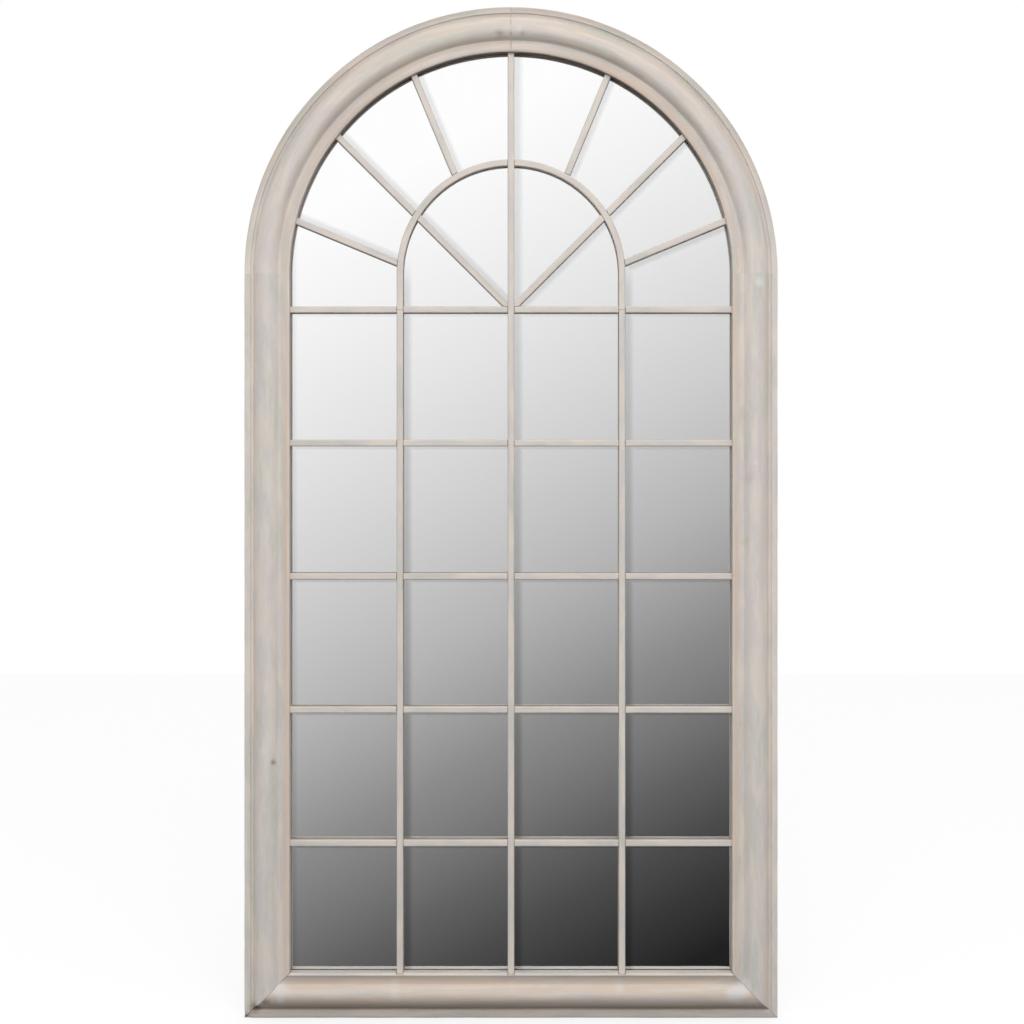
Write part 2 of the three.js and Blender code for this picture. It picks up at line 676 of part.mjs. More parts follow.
/**
 * The D-ring, hanging down from its pivot: wire bent from the middle of the eye,
 * round the bow and back, its two ends meeting inside the eye.
 */
function ringGeometry() {
  const half = RING_WIDTH / 2;
  const bow = half;
  const stretches = [
    straight([FIT / 2, 0], [half - RING_CORNER, 0]),
    new Arc(RING_CORNER, Math.PI / 2, 0, [half - RING_CORNER, -RING_CORNER]),
    straight([half, -RING_CORNER], [half, bow - RING_REACH]),
    new Arc(bow, 0, -Math.PI, [0, bow - RING_REACH]),
    straight([-half, bow - RING_REACH], [-half, -RING_CORNER]),
    new Arc(RING_CORNER, Math.PI, Math.PI / 2, [RING_CORNER - half, -RING_CORNER]),
    straight([RING_CORNER - half, 0], [-FIT / 2, 0]),
  ];
  const wire = new THREE.Shape();
  wire.absarc(0, 0, RING_WIRE / 2, 0, 2 * Math.PI, false);
  return new THREE.ExtrudeGeometry(wire, {
    extrudePath: new FlatPath(...stretches), steps: WIRE_STEPS,
    curveSegments: WIRE_SIDES / 2, bevelEnabled: false,
  });
}

// ---------------------------------------------------------------- build everything

makeFrame();
makeDowels();
makeGlassAndBoard();
makeUprights();
makeCrossBars();
makeArchBar();
makeFanBars();
makeBoardScrews();
makeHangers();
makeBumpers();

export default assembly;
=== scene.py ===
# %% [markdown]
# # An arched window mirror
# This lesson dresses a tall wall mirror. On the real object, a moulded wooden frame in five
# members holds one arched sheet of mirror glass, and a lattice of thin glazing bars lies in
# front of the glass like the bars of a church window. The wood is limewashed: white paint
# rubbed thin, so that the grain and the worn edges still show. The solids come from the
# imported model, which is loaded first and never moved.

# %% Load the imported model
import math

import bmesh
import bpy
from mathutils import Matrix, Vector, noise


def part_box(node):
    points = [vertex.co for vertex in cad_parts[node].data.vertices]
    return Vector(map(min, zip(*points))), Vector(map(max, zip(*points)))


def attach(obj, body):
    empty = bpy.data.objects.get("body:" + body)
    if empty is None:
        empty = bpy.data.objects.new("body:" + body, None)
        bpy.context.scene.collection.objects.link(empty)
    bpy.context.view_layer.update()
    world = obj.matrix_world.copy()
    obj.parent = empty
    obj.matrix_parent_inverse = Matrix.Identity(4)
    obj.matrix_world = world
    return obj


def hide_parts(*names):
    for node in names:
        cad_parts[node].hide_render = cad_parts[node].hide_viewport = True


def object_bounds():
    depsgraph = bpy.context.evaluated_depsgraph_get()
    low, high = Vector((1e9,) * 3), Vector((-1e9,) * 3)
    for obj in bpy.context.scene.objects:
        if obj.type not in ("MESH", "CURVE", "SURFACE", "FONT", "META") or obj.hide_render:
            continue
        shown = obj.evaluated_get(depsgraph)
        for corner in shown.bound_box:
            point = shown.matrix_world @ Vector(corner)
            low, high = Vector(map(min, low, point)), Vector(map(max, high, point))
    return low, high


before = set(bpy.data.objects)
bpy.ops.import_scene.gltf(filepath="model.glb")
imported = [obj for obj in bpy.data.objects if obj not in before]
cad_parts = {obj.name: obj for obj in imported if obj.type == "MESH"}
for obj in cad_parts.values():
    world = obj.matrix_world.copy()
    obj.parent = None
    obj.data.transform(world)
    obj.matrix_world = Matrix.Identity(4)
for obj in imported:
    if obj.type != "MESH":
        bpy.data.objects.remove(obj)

cad_box = [list(corner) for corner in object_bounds()]
print("nodes:", len(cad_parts), "box of the solids:", cad_box)

# %% [markdown]
# ## The view
# The photograph was taken straight on. The camera stands about three metres away, level with
# the second cross bar, so the bars above that height show their undersides, and those below it
# their tops. A tilted camera would make the stiles lean together, and they don't, so the camera
# stays level and its sensor is shifted down, as on a view camera.

# %% Camera and view settings
MM = 0.001
CAMERA_PLACE = Vector((1.5 * MM, -3035 * MM, -257 * MM))
SENSOR_WIDTH = 36
LENS = 70.71
SENSOR_SHIFT = -0.0654
scene = bpy.context.scene
scene.view_settings.view_transform = "Standard"

camera_data = bpy.data.cameras.new("photograph_view")
camera_data.sensor_width = SENSOR_WIDTH
camera_data.lens = LENS
camera_data.shift_y = SENSOR_SHIFT
camera = bpy.data.objects.new("photograph_view", camera_data)
camera.location = CAMERA_PLACE
camera.rotation_euler = (math.radians(90), 0, 0)
scene.collection.objects.link(camera)
scene.camera = camera
print("camera at", tuple(camera.location), "lens", camera_data.lens)

# %% [markdown]
# ## Small helpers for nodes
# A material is a little network. These helpers add a node, feed a socket with either a number
# or another socket, and do sums and blends, so that each material below reads like a recipe.
# Colours are written as a screen shows them, and turned into the renderer's own scale.

# %% Node helpers
def on_scale(red, green, blue):
    """A screen colour, 0 to 255, as the renderer counts it."""
    def straighten(value):
        value /= 255
        return value / 12.92 if value <= 0.04045 else ((value + 0.055) / 1.055) ** 2.4
    return (straighten(red), straighten(green), straighten(blue), 1)


def feed(tree, socket, value):
    """Links a socket to a socket, or writes a plain value on it."""
    if isinstance(value, bpy.types.NodeSocket):
        tree.links.new(value, socket)
    else:
        socket.default_value = value


def add_node(tree, kind, **settings):
    made = tree.nodes.new(kind)
    for name, value in settings.items():
        setattr(made, name, value)
    return made


def sum_of(tree, operation, first, second=0.0, third=0.0, clamp=False):
    """One sum on numbers that change over the surface."""
    made = add_node(tree, "ShaderNodeMath", operation=operation, use_clamp=clamp)
    for socket, value in zip(made.inputs, (first, second, third)):
        feed(tree, socket, value)
    return made.outputs[0]


def stretched(tree, vector, factors):
    """A vector with each of its parts made longer or shorter."""
    made = add_node(tree, "ShaderNodeVectorMath", operation="MULTIPLY")
    feed(tree, made.inputs[0], vector)
    made.inputs[1].default_value = factors
    return made.outputs[0]


def cloud(tree, vector, scale=1.0, detail=3.0, roughness=0.55, distortion=0.0):
    """Soft noise from 0 to 1."""
    made = add_node(tree, "ShaderNodeTexNoise")
    feed(tree, made.inputs["Vector"], vector)
    made.inputs["Scale"].default_value = scale
    made.inputs["Detail"].default_value = detail
    made.inputs["Roughness"].default_value = roughness
    made.inputs["Distortion"].default_value = distortion
    return made.outputs["Fac"]


def between(tree, value, low, high, low_out=0.0, high_out=1.0):
    """A value eased from one range into another."""
    made = add_node(tree, "ShaderNodeMapRange", interpolation_type="SMOOTHSTEP")
    for name, number in (("Value", value), ("From Min", low), ("From Max", high),
                         ("To Min", low_out), ("To Max", high_out)):
        feed(tree, made.inputs[name], number)
    return made.outputs["Result"]


def blend(tree, amount, under, over, kind="MIX"):
    """Lays one colour over another."""
    made = add_node(tree, "ShaderNodeMix", data_type="RGBA", blend_type=kind)
    feed(tree, made.inputs[0], amount)
    feed(tree, made.inputs[6], under)
    feed(tree, made.inputs[7], over)
    return made.outputs[2]


def ramp(tree, value, stops):
    """A grey that follows a value through (place, grey) stops."""
    made = add_node(tree, "ShaderNodeValToRGB")
    feed(tree, made.inputs[0], value)
    points = made.color_ramp.elements
    while len(points) < len(stops):
        points.new(1.0)
    for point, (place, grey) in zip(points, stops):
        point.position = place
        point.color = (grey, grey, grey, 1)
    return made.outputs["Color"]


print("helpers ready; mid grey is", round(on_scale(188, 188, 188)[0], 3))

# %% [markdown]
# ## The room: plain world, soft key, pale floor
# The photograph has a white background and soft light from above: the ledge at the foot of
# the mirror is nearly white, and the inner edge of the arch is dark. So the world is brighter
# above the horizon than below it. Making it bright enough to be a white background would wash
# out the wood, so Light Path shows plain white to the eye, to reflections and to glass.
# The floor looks pale to the eye, which keeps the object's shadow, but throws little light up.

# %% World and floor
WORLD_ABOVE = 0.97
WORLD_BELOW = 0.6
WORLD_TURNS = (-0.25, 0.45)
FLOOR_HEIGHT = cad_box[0][2] - 0.5 * MM
FLOOR_PALE = 0.92
FLOOR_BOUNCE = 0.22
FLOOR_GLOW_SHARE = 0.75

world = bpy.data.worlds.new("studio")
scene.world = world
world.use_nodes = True
tree = world.node_tree
background = tree.nodes["Background"]
background.inputs["Color"].default_value = (1, 1, 1, 1)
path = add_node(tree, "ShaderNodeLightPath")
seen = sum_of(tree, "MAXIMUM", path.outputs["Is Camera Ray"], path.outputs["Is Glossy Ray"])
seen = sum_of(tree, "MAXIMUM", seen, path.outputs["Is Transmission Ray"])
heading = add_node(tree, "ShaderNodeSeparateXYZ")
tree.links.new(add_node(tree, "ShaderNodeTexCoord").outputs["Generated"], heading.inputs[0])
level = between(tree, heading.outputs[2], *WORLD_TURNS, WORLD_BELOW, WORLD_ABOVE)
feed(tree, background.inputs["Strength"], between(tree, seen, 0.0, 1.0, level, 1.0))

bpy.ops.mesh.primitive_plane_add(size=9, location=(0, 0, FLOOR_HEIGHT))
floor = bpy.context.object
floor.name = "studio_floor"
floor.visible_glossy = False
floor.visible_transmission = False

floor_paint = bpy.data.materials.new("studio_floor")
floor_paint.use_nodes = True
tree = floor_paint.node_tree
tree.nodes.clear()
out = add_node(tree, "ShaderNodeOutputMaterial")
path = add_node(tree, "ShaderNodeLightPath")
matt = add_node(tree, "ShaderNodeBsdfDiffuse")
feed(tree, matt.inputs["Color"],
     between(tree, path.outputs["Is Camera Ray"], 0.0, 1.0, FLOOR_BOUNCE, FLOOR_PALE))
glow = add_node(tree, "ShaderNodeEmission")
glow.inputs["Strength"].default_value = 1.0
mixer = add_node(tree, "ShaderNodeMixShader")
feed(tree, mixer.inputs[0],
     sum_of(tree, "MULTIPLY", path.outputs["Is Camera Ray"], FLOOR_GLOW_SHARE))
tree.links.new(matt.outputs[0], mixer.inputs[1])
tree.links.new(glow.outputs[0], mixer.inputs[2])
tree.links.new(mixer.outputs[0], out.inputs["Surface"])
floor.data.materials.append(floor_paint)
print("floor at", round(FLOOR_HEIGHT, 4), "world", WORLD_BELOW, "to", WORLD_ABOVE)

# %% Lamps
def add_softbox(name, place, towards, size, power):
    """A square studio lamp that faces a point, and that the mirror doesn't show."""
    lamp = bpy.data.lights.new(name, "AREA")
    lamp.size = size
    lamp.energy = power
    box = bpy.data.objects.new(name, lamp)
    box.location = place
    aim = Vector(towards) - Vector(place)
    box.rotation_euler = aim.to_track_quat("-Z", "Y").to_euler()
    box.visible_glossy = False
    box.visible_transmission = False
    scene.collection.objects.link(box)
    return box


add_softbox("key_above", (0.15, -2.8, 1.6), (0, 0, -0.4), 1.7, 46)

# %% [markdown]
# ## What the mirror sees
# A mirror has hardly any colour of its own: it shows the room in front of it. In the
# photograph that is a backdrop that fades from white at the top left to nearly black at the
# bottom right. A card behind the camera carries that fade, and only reflections can see it.
# The fade is placed on the card by following the reflected ray from the camera. At its
# sides and its foot the card fades out to white, so that no edge of it shows in the mirror.

# %% Card in front of the mirror
CARD_DISTANCE = 3400 * MM
CARD_HEIGHT = -1.1
CARD_SIZE = (4.6, 6, 1)
SIDES_FADE = (0.85, 2.25)
FOOT_FADES = (-4.0, -2.3)
SILVER_FRONT = 4.7 * MM
PHOTO_PIXEL = 1.5 * MM
FADE_SLANT = 0.54
FADE_START = 549.8
# each stop: how far along the fade, in pixels of the photograph, and the grey there
FADE_STOPS = [(380, 255), (486, 245), (620, 229), (755, 208), (887, 182), (1018, 141),
              (1149, 98), (1208, 77), (1268, 58), (1340, 33)]
CARD_LIFT = 1.018

bpy.ops.mesh.primitive_plane_add(size=1, location=(0, -CARD_DISTANCE, CARD_HEIGHT),
                                 rotation=(math.radians(90), 0, 0))
card = bpy.context.object
card.name = "fading_card"
card.scale = CARD_SIZE
bpy.ops.object.transform_apply(location=True, rotation=True, scale=True)
for ray in ("camera", "diffuse", "shadow", "volume_scatter"):
    setattr(card, f"visible_{ray}", False)

reach = (CARD_DISTANCE - SILVER_FRONT) / (-CAMERA_PLACE.y - SILVER_FRONT)
pixels = 1 / (PHOTO_PIXEL * (1 + reach))
fade_at_origin = FADE_START + pixels * reach * (FADE_SLANT * CAMERA_PLACE.x - CAMERA_PLACE.z)

card_paint = bpy.data.materials.new("fading_card")
card_paint.use_nodes = True
tree = card_paint.node_tree
tree.nodes.clear()
out = add_node(tree, "ShaderNodeOutputMaterial")
glow = add_node(tree, "ShaderNodeEmission")
where = add_node(tree, "ShaderNodeSeparateXYZ")
tree.links.new(add_node(tree, "ShaderNodeTexCoord").outputs["Object"], where.inputs[0])
across = sum_of(tree, "MULTIPLY_ADD", where.outputs[0], FADE_SLANT * pixels, fade_at_origin)
place = sum_of(tree, "MULTIPLY_ADD", where.outputs[2], -pixels, across)
first, last = FADE_STOPS[0][0], FADE_STOPS[-1][0]
share = sum_of(tree, "DIVIDE", sum_of(tree, "SUBTRACT", place, first), last - first)
greys = [((s - first) / (last - first), on_scale(g, g, g)[0]) for s, g in FADE_STOPS]
towards_the_side = between(tree, sum_of(tree, "ABSOLUTE", where.outputs[0]), *SIDES_FADE)
towards_the_foot = between(tree, where.outputs[2], *FOOT_FADES, 1.0, 0.0)
faded_out = sum_of(tree, "MAXIMUM", towards_the_side, towards_the_foot)
feed(tree, glow.inputs["Color"],
     blend(tree, faded_out, ramp(tree, share, greys), on_scale(255, 255, 255)))
glow.inputs["Strength"].default_value = CARD_LIFT
tree.links.new(glow.outputs[0], out.inputs["Surface"])
card.data.materials.append(card_paint)
print("card reaches", round(reach, 3), "fade at the origin", round(fade_at_origin, 1))

# %% [markdown]
# ## Finish: wood grain
# Grain runs along a piece of wood, whichever way the piece lies, and round the arch it bends
# with the moulding. Object coordinates can't bend, so every wooden piece carries its own
# attribute named grain: how far along the piece a point is, how far across, and how deep.
# The group below turns it into long streaks, fine lines and pores.

# %% Group for wood grain
def add_group(name, inputs, outputs):
    """An empty node group with its sockets, its input node and its output node."""
    group = bpy.data.node_groups.new(name, "ShaderNodeTree")
    for socket, kind in inputs:
        group.interface.new_socket(socket, in_out="INPUT", socket_type=kind)
    for socket, kind in outputs:
        group.interface.new_socket(socket, in_out="OUTPUT", socket_type=kind)
    return group, add_node(group, "NodeGroupInput"), add_node(group, "NodeGroupOutput")


FLOAT, COLOUR, VECTOR = "NodeSocketFloat", "NodeSocketColor", "NodeSocketVector"

wood_grain, given, made = add_group(
    "wood_grain", [("Grain", VECTOR)],
    [("Streaks", FLOAT), ("Lines", FLOAT), ("Pores", FLOAT), ("Clouds", FLOAT)])
grain = given.outputs["Grain"]
feed(wood_grain, made.inputs["Streaks"],
     cloud(wood_grain, stretched(wood_grain, grain, (4.5, 120, 120)), detail=4, distortion=0.3))
feed(wood_grain, made.inputs["Lines"],
     cloud(wood_grain, stretched(wood_grain, grain, (26, 900, 900)), detail=3))
pores = cloud(wood_grain, stretched(wood_grain, grain, (90, 2600, 2600)), detail=2)
feed(wood_grain, made.inputs["Pores"], between(wood_grain, pores, 0.62, 0.72))
feed(wood_grain, made.inputs["Clouds"],
     cloud(wood_grain, stretched(wood_grain, grain, (14, 52, 52)), detail=4))
print("group:", wood_grain.name, [s.name for s in wood_grain.interface.items_tree])

# %% [markdown]
# ## Finish: limewash
# The painter brushes on thin white paint and wipes it, so it dries in soft patches of lilac,
# cream and grey. It is warmer where the wood glows through, in the grooves and at the lip.
# Filler shows as paler patches, the arrises are rubbed down to brown wood, and soil darkens
# the paint; the same soil colour also serves as painted shade in grooves and under edges. All
# of that is one group, because the frame and the bars share it. Each material then says where
# its own piece is warm, bare, filled, or darkened by soil and painted shade. The back is left
# unpainted.

# %% Group for limewash
LIMEWASH_LILAC = on_scale(208, 201, 199)
LIMEWASH_CREAM = on_scale(219, 211, 201)
LIMEWASH_GREY = on_scale(195, 196, 188)
LIMEWASH_PEACH = on_scale(214, 194, 177)
WORN_WOOD = on_scale(150, 118, 96)
WORN_WOOD_PALE = on_scale(196, 164, 140)
# The soil colour, used for real soil and also for painted shade in grooves and under edges.
SOIL_AND_SHADE = on_scale(104, 86, 73)
FILLER = on_scale(219, 216, 214)
PINE = on_scale(214, 182, 138)
PINE_DARK = on_scale(178, 134, 88)

limewash, given, made = add_group(
    "limewash",
    [("Grain", VECTOR), ("Warm", FLOAT), ("Bare", FLOAT), ("Soil and shade", FLOAT), ("Filled", FLOAT),
     ("Unpainted", FLOAT)],
    [("Color", COLOUR), ("Roughness", FLOAT), ("Height", FLOAT)])
grain = add_node(limewash, "ShaderNodeGroup", node_tree=wood_grain)
feed(limewash, grain.inputs[0], given.outputs["Grain"])
streaks, lines, pores, clouds = (grain.outputs[i] for i in range(4))


def swing(tree, value, amount):
    """How far a noise is from its middle, either way."""
    return sum_of(tree, "MULTIPLY", sum_of(tree, "SUBTRACT", value, 0.5), amount)


paint = blend(limewash, between(limewash, clouds, 0.4, 0.6), LIMEWASH_LILAC, LIMEWASH_CREAM)
grey_patches = between(limewash, cloud(limewash, stretched(
    limewash, given.outputs["Grain"], (8, 46, 46)), detail=3), 0.48, 0.66, 0.0, 0.85)
paint = blend(limewash, grey_patches, paint, LIMEWASH_GREY)
brushed = cloud(limewash, stretched(limewash, given.outputs["Grain"], (70, 240, 240)), detail=4)
paint = blend(limewash, between(limewash, brushed, 0.35, 0.7, 0.0, 0.4), paint, LIMEWASH_CREAM)
warm = sum_of(limewash, "ADD", given.outputs["Warm"], swing(limewash, streaks, 1.6))
paint = blend(limewash, between(limewash, warm, 0.25, 0.95, 0.0, 0.9), paint, LIMEWASH_PEACH)
paint = blend(limewash, between(limewash, lines, 0.5, 0.75, 0.0, 0.16), paint, WORN_WOOD_PALE)

rubbed = sum_of(limewash, "ADD", given.outputs["Bare"], swing(limewash, streaks, 1.1))
rubbed = sum_of(limewash, "ADD", rubbed, swing(limewash, lines, 0.6))
bare_wood = blend(limewash, between(limewash, clouds, 0.4, 0.62), WORN_WOOD, WORN_WOOD_PALE)
worn = between(limewash, rubbed, 0.42, 0.85, 0.0, 0.8)
paint = blend(limewash, worn, paint, bare_wood)

filled = sum_of(limewash, "ADD", given.outputs["Filled"], swing(limewash, clouds, 1.1))
filled = between(limewash, filled, 0.3, 0.8, 0.0, 0.85)
paint = blend(limewash, filled, paint, FILLER)
# Soil and painted shade darken the paint towards the soil colour.
soil_and_shade_amount = sum_of(limewash, "MULTIPLY", given.outputs["Soil and shade"],
                between(limewash, streaks, 0.25, 0.65, 0.75, 1.0))
paint = blend(limewash, soil_and_shade_amount, paint, SOIL_AND_SHADE)

pine = blend(limewash, between(limewash, streaks, 0.38, 0.62), PINE, PINE_DARK)
pine = blend(limewash, sum_of(limewash, "MULTIPLY", pores, 0.5), pine, WORN_WOOD)
paint = blend(limewash, given.outputs["Unpainted"], paint, pine)
feed(limewash, made.inputs["Color"], paint)

feed(limewash, made.inputs["Roughness"], between(limewash, lines, 0.3, 0.7, 0.62, 0.78))
relief = sum_of(limewash, "MULTIPLY_ADD", lines, 0.5, sum_of(limewash, "MULTIPLY", streaks, 0.4))
relief = sum_of(limewash, "SUBTRACT", relief, sum_of(limewash, "MULTIPLY", pores, 0.4))
relief = sum_of(limewash, "SUBTRACT", relief, sum_of(limewash, "MULTIPLY", worn, 0.4))
feed(limewash, made.inputs["Height"], relief)
print("group:", limewash.name, "nodes:", len(limewash.nodes))

# %% Limewashed wood, for the frame and for the bars
def limewashed(name, warm_stops, bare_stops, soil_and_shade_stops, side_width, mirrored, warm_above=0.0):
    """Wood painted thin. The stops say how warm, bare, and darkened by soil it is from side to
    side;
    on the bottom rail the soil stops also carry painted shade in its outer groove and at the foot
    of its bead. warm_above is how warm it is at the apex, where lamps and hands have yellowed it."""
    paint = bpy.data.materials.new(name)
    paint.use_nodes = True
    tree = paint.node_tree
    shader = tree.nodes["Principled BSDF"]
    grain = add_node(tree, "ShaderNodeAttribute", attribute_name="grain").outputs["Vector"]
    marks = add_node(tree, "ShaderNodeSeparateXYZ")
    feed(tree, marks.inputs[0],
         add_node(tree, "ShaderNodeAttribute", attribute_name="marks").outputs["Vector"])
    parts = add_node(tree, "ShaderNodeSeparateXYZ")
    feed(tree, parts.inputs[0], grain)
    across = parts.outputs[1]
    if mirrored:
        across = sum_of(tree, "ABSOLUTE", across)
    share = sum_of(tree, "DIVIDE", across, side_width)

    place = add_node(tree, "ShaderNodeSeparateXYZ")
    feed(tree, place.inputs[0], add_node(tree, "ShaderNodeTexCoord").outputs["Object"])
    yellowed = between(tree, place.outputs[2], -100 * MM, 300 * MM, 0.0, warm_above)

    wash = add_node(tree, "ShaderNodeGroup", node_tree=limewash)
    feed(tree, wash.inputs["Grain"], grain)
    feed(tree, wash.inputs["Warm"],
         sum_of(tree, "MAXIMUM", ramp(tree, share, warm_stops), yellowed))
    feed(tree, wash.inputs["Bare"],
         sum_of(tree, "ADD", ramp(tree, share, bare_stops), marks.outputs[0]))
    feed(tree, wash.inputs["Soil and shade"],
         sum_of(tree, "ADD", ramp(tree, share, soil_and_shade_stops), marks.outputs[1], clamp=True))
    feed(tree, wash.inputs["Filled"], marks.outputs[2])
    feed(tree, wash.inputs["Unpainted"],
         between(tree, parts.outputs[2], 1.2 * MM, 4 * MM, 1.0, 0.0))

    bump = add_node(tree, "ShaderNodeBump")
    bump.inputs["Strength"].default_value = 0.25
    bump.inputs["Distance"].default_value = 0.4 * MM
    feed(tree, bump.inputs["Height"], wash.outputs["Height"])
    feed(tree, shader.inputs["Base Color"], wash.outputs["Color"])
    feed(tree, shader.inputs["Roughness"], wash.outputs["Roughness"])
    feed(tree, shader.inputs["Normal"], bump.outputs[0])
    shader.inputs["Specular IOR Level"].default_value = 0.35
    return paint


MOULDING_WIDTH = 69 * MM
BAR_WIDTH = 10 * MM
frame_paint = limewashed(
    "limewashed_frame",
    [(0.0, 0.3), (0.12, 0.2), (0.2, 0.45), (0.32, 0.3), (0.5, 0.1), (0.62, 0.2),
     (0.78, 0.3), (0.94, 0.7), (1.0, 0.5)],
    [(0.0, 0.34), (0.035, 0.12), (0.12, 0.02), (0.2, 0.02), (0.3, 0.0), (0.6, 0.02),
     (0.8, 0.02), (0.93, 0.08), (0.95, 0.24), (0.965, 0.04), (1.0, 0.0)],
    [(0.0, 0.0), (0.7, 0.0), (0.925, 0.02), (0.945, 0.1), (0.96, 0.0)],
    MOULDING_WIDTH, mirrored=False, warm_above=0.42)
rail_paint = limewashed(
    "limewashed_bottom_rail",
    [(0.0, 0.3), (0.14, 0.3), (0.2, 0.6), (0.4, 0.6), (0.6, 0.66), (0.88, 0.7), (0.96, 0.2),
     (1.0, 0.1)],
    [(0.0, 0.3), (0.03, 0.1), (0.15, 0.06), (0.24, 0.12), (0.4, 0.06), (0.9, 0.1), (0.94, 0.3),
     (0.96, 0.0)],
    # Soil stops: the rim is darker; the peaks in the outer groove and at the bead's foot are
    # painted shade.
    [(0.0, 0.26), (0.15, 0.24), (0.195, 0.64), (0.24, 0.5), (0.33, 0.24), (0.42, 0.08),
     (0.6, 0.08), (0.89, 0.02), (0.925, 0.45), (0.945, 0.45), (0.955, 0.0)],
    MOULDING_WIDTH, mirrored=False)
bar_paint = limewashed(
    "limewashed_bars",
    [(0.0, 0.05), (0.5, 0.1), (1.0, 0.45)],
    [(0.0, 0.04), (0.5, 0.1), (0.75, 0.3), (1.0, 0.2)],
    [(0.0, 0.02), (0.7, 0.02), (0.97, 0.12)],
    BAR_WIDTH / 2, mirrored=True)
print("paints:", frame_paint.name, rail_paint.name, bar_paint.name)

# %% [markdown]
# ## Finishes behind the wood
# The hidden materials are plainer, but still vary: turned dowels of pale wood, a pressed
# fibreboard with fibres and a faint sheen, zinc with a spangle and fine scratches, and rubber
# with a dusty bloom. These read Object coordinates, because nothing in them has to bend.

# %% Bare wood, fibreboard, zinc and rubber
def plain_material(name, light, dark, noise_stretch, roughness, metallic=0.0, relief=0.2,
                   detail=4.0):
    """A material of two close colours, mixed by noise that may be stretched one way."""
    made = bpy.data.materials.new(name)
    made.use_nodes = True
    tree = made.node_tree
    shader = tree.nodes["Principled BSDF"]
    where = add_node(tree, "ShaderNodeTexCoord").outputs["Object"]
    broad = cloud(tree, stretched(tree, where, noise_stretch), detail=detail)
    fine = cloud(tree, stretched(tree, where, [6 * n for n in noise_stretch]), detail=2)
    mottle = sum_of(tree, "MULTIPLY_ADD", fine, 0.4, sum_of(tree, "MULTIPLY", broad, 0.6))
    feed(tree, shader.inputs["Base Color"],
         blend(tree, between(tree, mottle, 0.36, 0.64), dark, light))
    feed(tree, shader.inputs["Roughness"],
         between(tree, mottle, 0.3, 0.7, roughness - 0.08, roughness + 0.08))
    shader.inputs["Metallic"].default_value = metallic
    bump = add_node(tree, "ShaderNodeBump")
    bump.inputs["Strength"].default_value = relief
    bump.inputs["Distance"].default_value = 0.2 * MM
    feed(tree, bump.inputs["Height"], mottle)
    feed(tree, shader.inputs["Normal"], bump.outputs[0])
    return made


dowel_wood = plain_material("turned_dowel_wood", on_scale(222, 194, 152),
                            on_scale(196, 160, 114), (300, 300, 300), 0.7)
fibreboard = plain_material("pressed_fibreboard", on_scale(164, 128, 90),
                            on_scale(128, 95, 62), (60, 60, 90), 0.75, relief=0.25)
zinc = plain_material("zinc_plated_steel", on_scale(206, 208, 212), on_scale(170, 173, 179),
                      (350, 350, 350), 0.34, metallic=1.0, relief=0.08)
rubber = plain_material("black_rubber", on_scale(52, 51, 50), on_scale(34, 34, 35),
                        (400, 400, 400), 0.8, relief=0.15)
print("plain materials:", [m.name for m in (dowel_wood, fibreboard, zinc, rubber)])

# %% [markdown]
# ## Working in edit mode
# Modelling from a script is the same as by hand: add a primitive, enter edit mode, select
# some parts, and use a tool. The helpers do the clicking. Everything is deselected first,
# since a tool acts on all that is selected. With no window, spin and rotate turn the other
# way round, so the helper for spinning flips the sign.

# %% Modelling helpers
def only(piece):
    """Selects one piece and nothing else."""
    bpy.ops.object.select_all(action="DESELECT")
    piece.select_set(True)
    bpy.context.view_layer.objects.active = piece


def edit(piece, parts="FACE"):
    """Opens a piece for editing, with nothing selected in it."""
    only(piece)
    bpy.ops.object.mode_set(mode="EDIT")
    bpy.ops.mesh.select_mode(type=parts)
    bpy.ops.mesh.select_all(action="DESELECT")


def pick(piece, parts, wanted):
    """Selects the verts, edges or faces of the open piece that are wanted."""
    bpy.ops.mesh.select_all(action="DESELECT")
    mesh = bmesh.from_edit_mesh(piece.data)
    for part in getattr(mesh, parts):
        if wanted(part):
            part.select_set(True)
    bmesh.update_edit_mesh(piece.data)


def close_edit():
    """Turns all faces outwards and goes back to object mode."""
    bpy.ops.mesh.select_all(action="SELECT")
    bpy.ops.mesh.normals_make_consistent(inside=False)
    bpy.ops.object.mode_set(mode="OBJECT")


def run_on(offset, steps=1):
    """Extrudes what is selected along an offset, in some steps."""
    for _ in range(steps):
        bpy.ops.mesh.extrude_region_move(
            TRANSFORM_OT_translate={"value": [part / steps for part in offset]})


def spin_on(degrees, centre, axis, steps):
    """Spins what is selected round an axis, the way that the right hand turns."""
    bpy.ops.mesh.spin(steps=steps, angle=-math.radians(degrees), center=centre, axis=axis)


def settle(piece):
    """Puts a piece's place, turn and size into its mesh, so its object sits at the origin."""
    only(piece)
    bpy.ops.object.transform_apply(location=True, rotation=True, scale=True)
    return piece


def add_plane(name, middle, size):
    """A level rectangle with this middle and this size."""
    bpy.ops.object.select_all(action="DESELECT")
    bpy.ops.mesh.primitive_plane_add(size=1, location=middle)
    bpy.context.object.name = name
    bpy.context.object.scale = (*size, 1)
    return settle(bpy.context.object)


def add_block(name, low, high):
    """A box between two corners."""
    bpy.ops.object.select_all(action="DESELECT")
    middle = [(a + b) / 2 for a, b in zip(low, high)]
    bpy.ops.mesh.primitive_cube_add(size=1, location=middle,
                                    scale=[b - a for a, b in zip(low, high)])
    bpy.context.object.name = name
    return settle(bpy.context.object)


def add_rod(name, radius, start, end, sides=24):
    """A round rod from one point to another."""
    bpy.ops.object.select_all(action="DESELECT")
    start, end = Vector(start), Vector(end)
    bpy.ops.mesh.primitive_cylinder_add(
        vertices=sides, radius=radius, depth=(end - start).length, location=(start + end) / 2,
        rotation=(end - start).to_track_quat("Z", "Y").to_euler())
    bpy.context.object.name = name
    return settle(bpy.context.object)


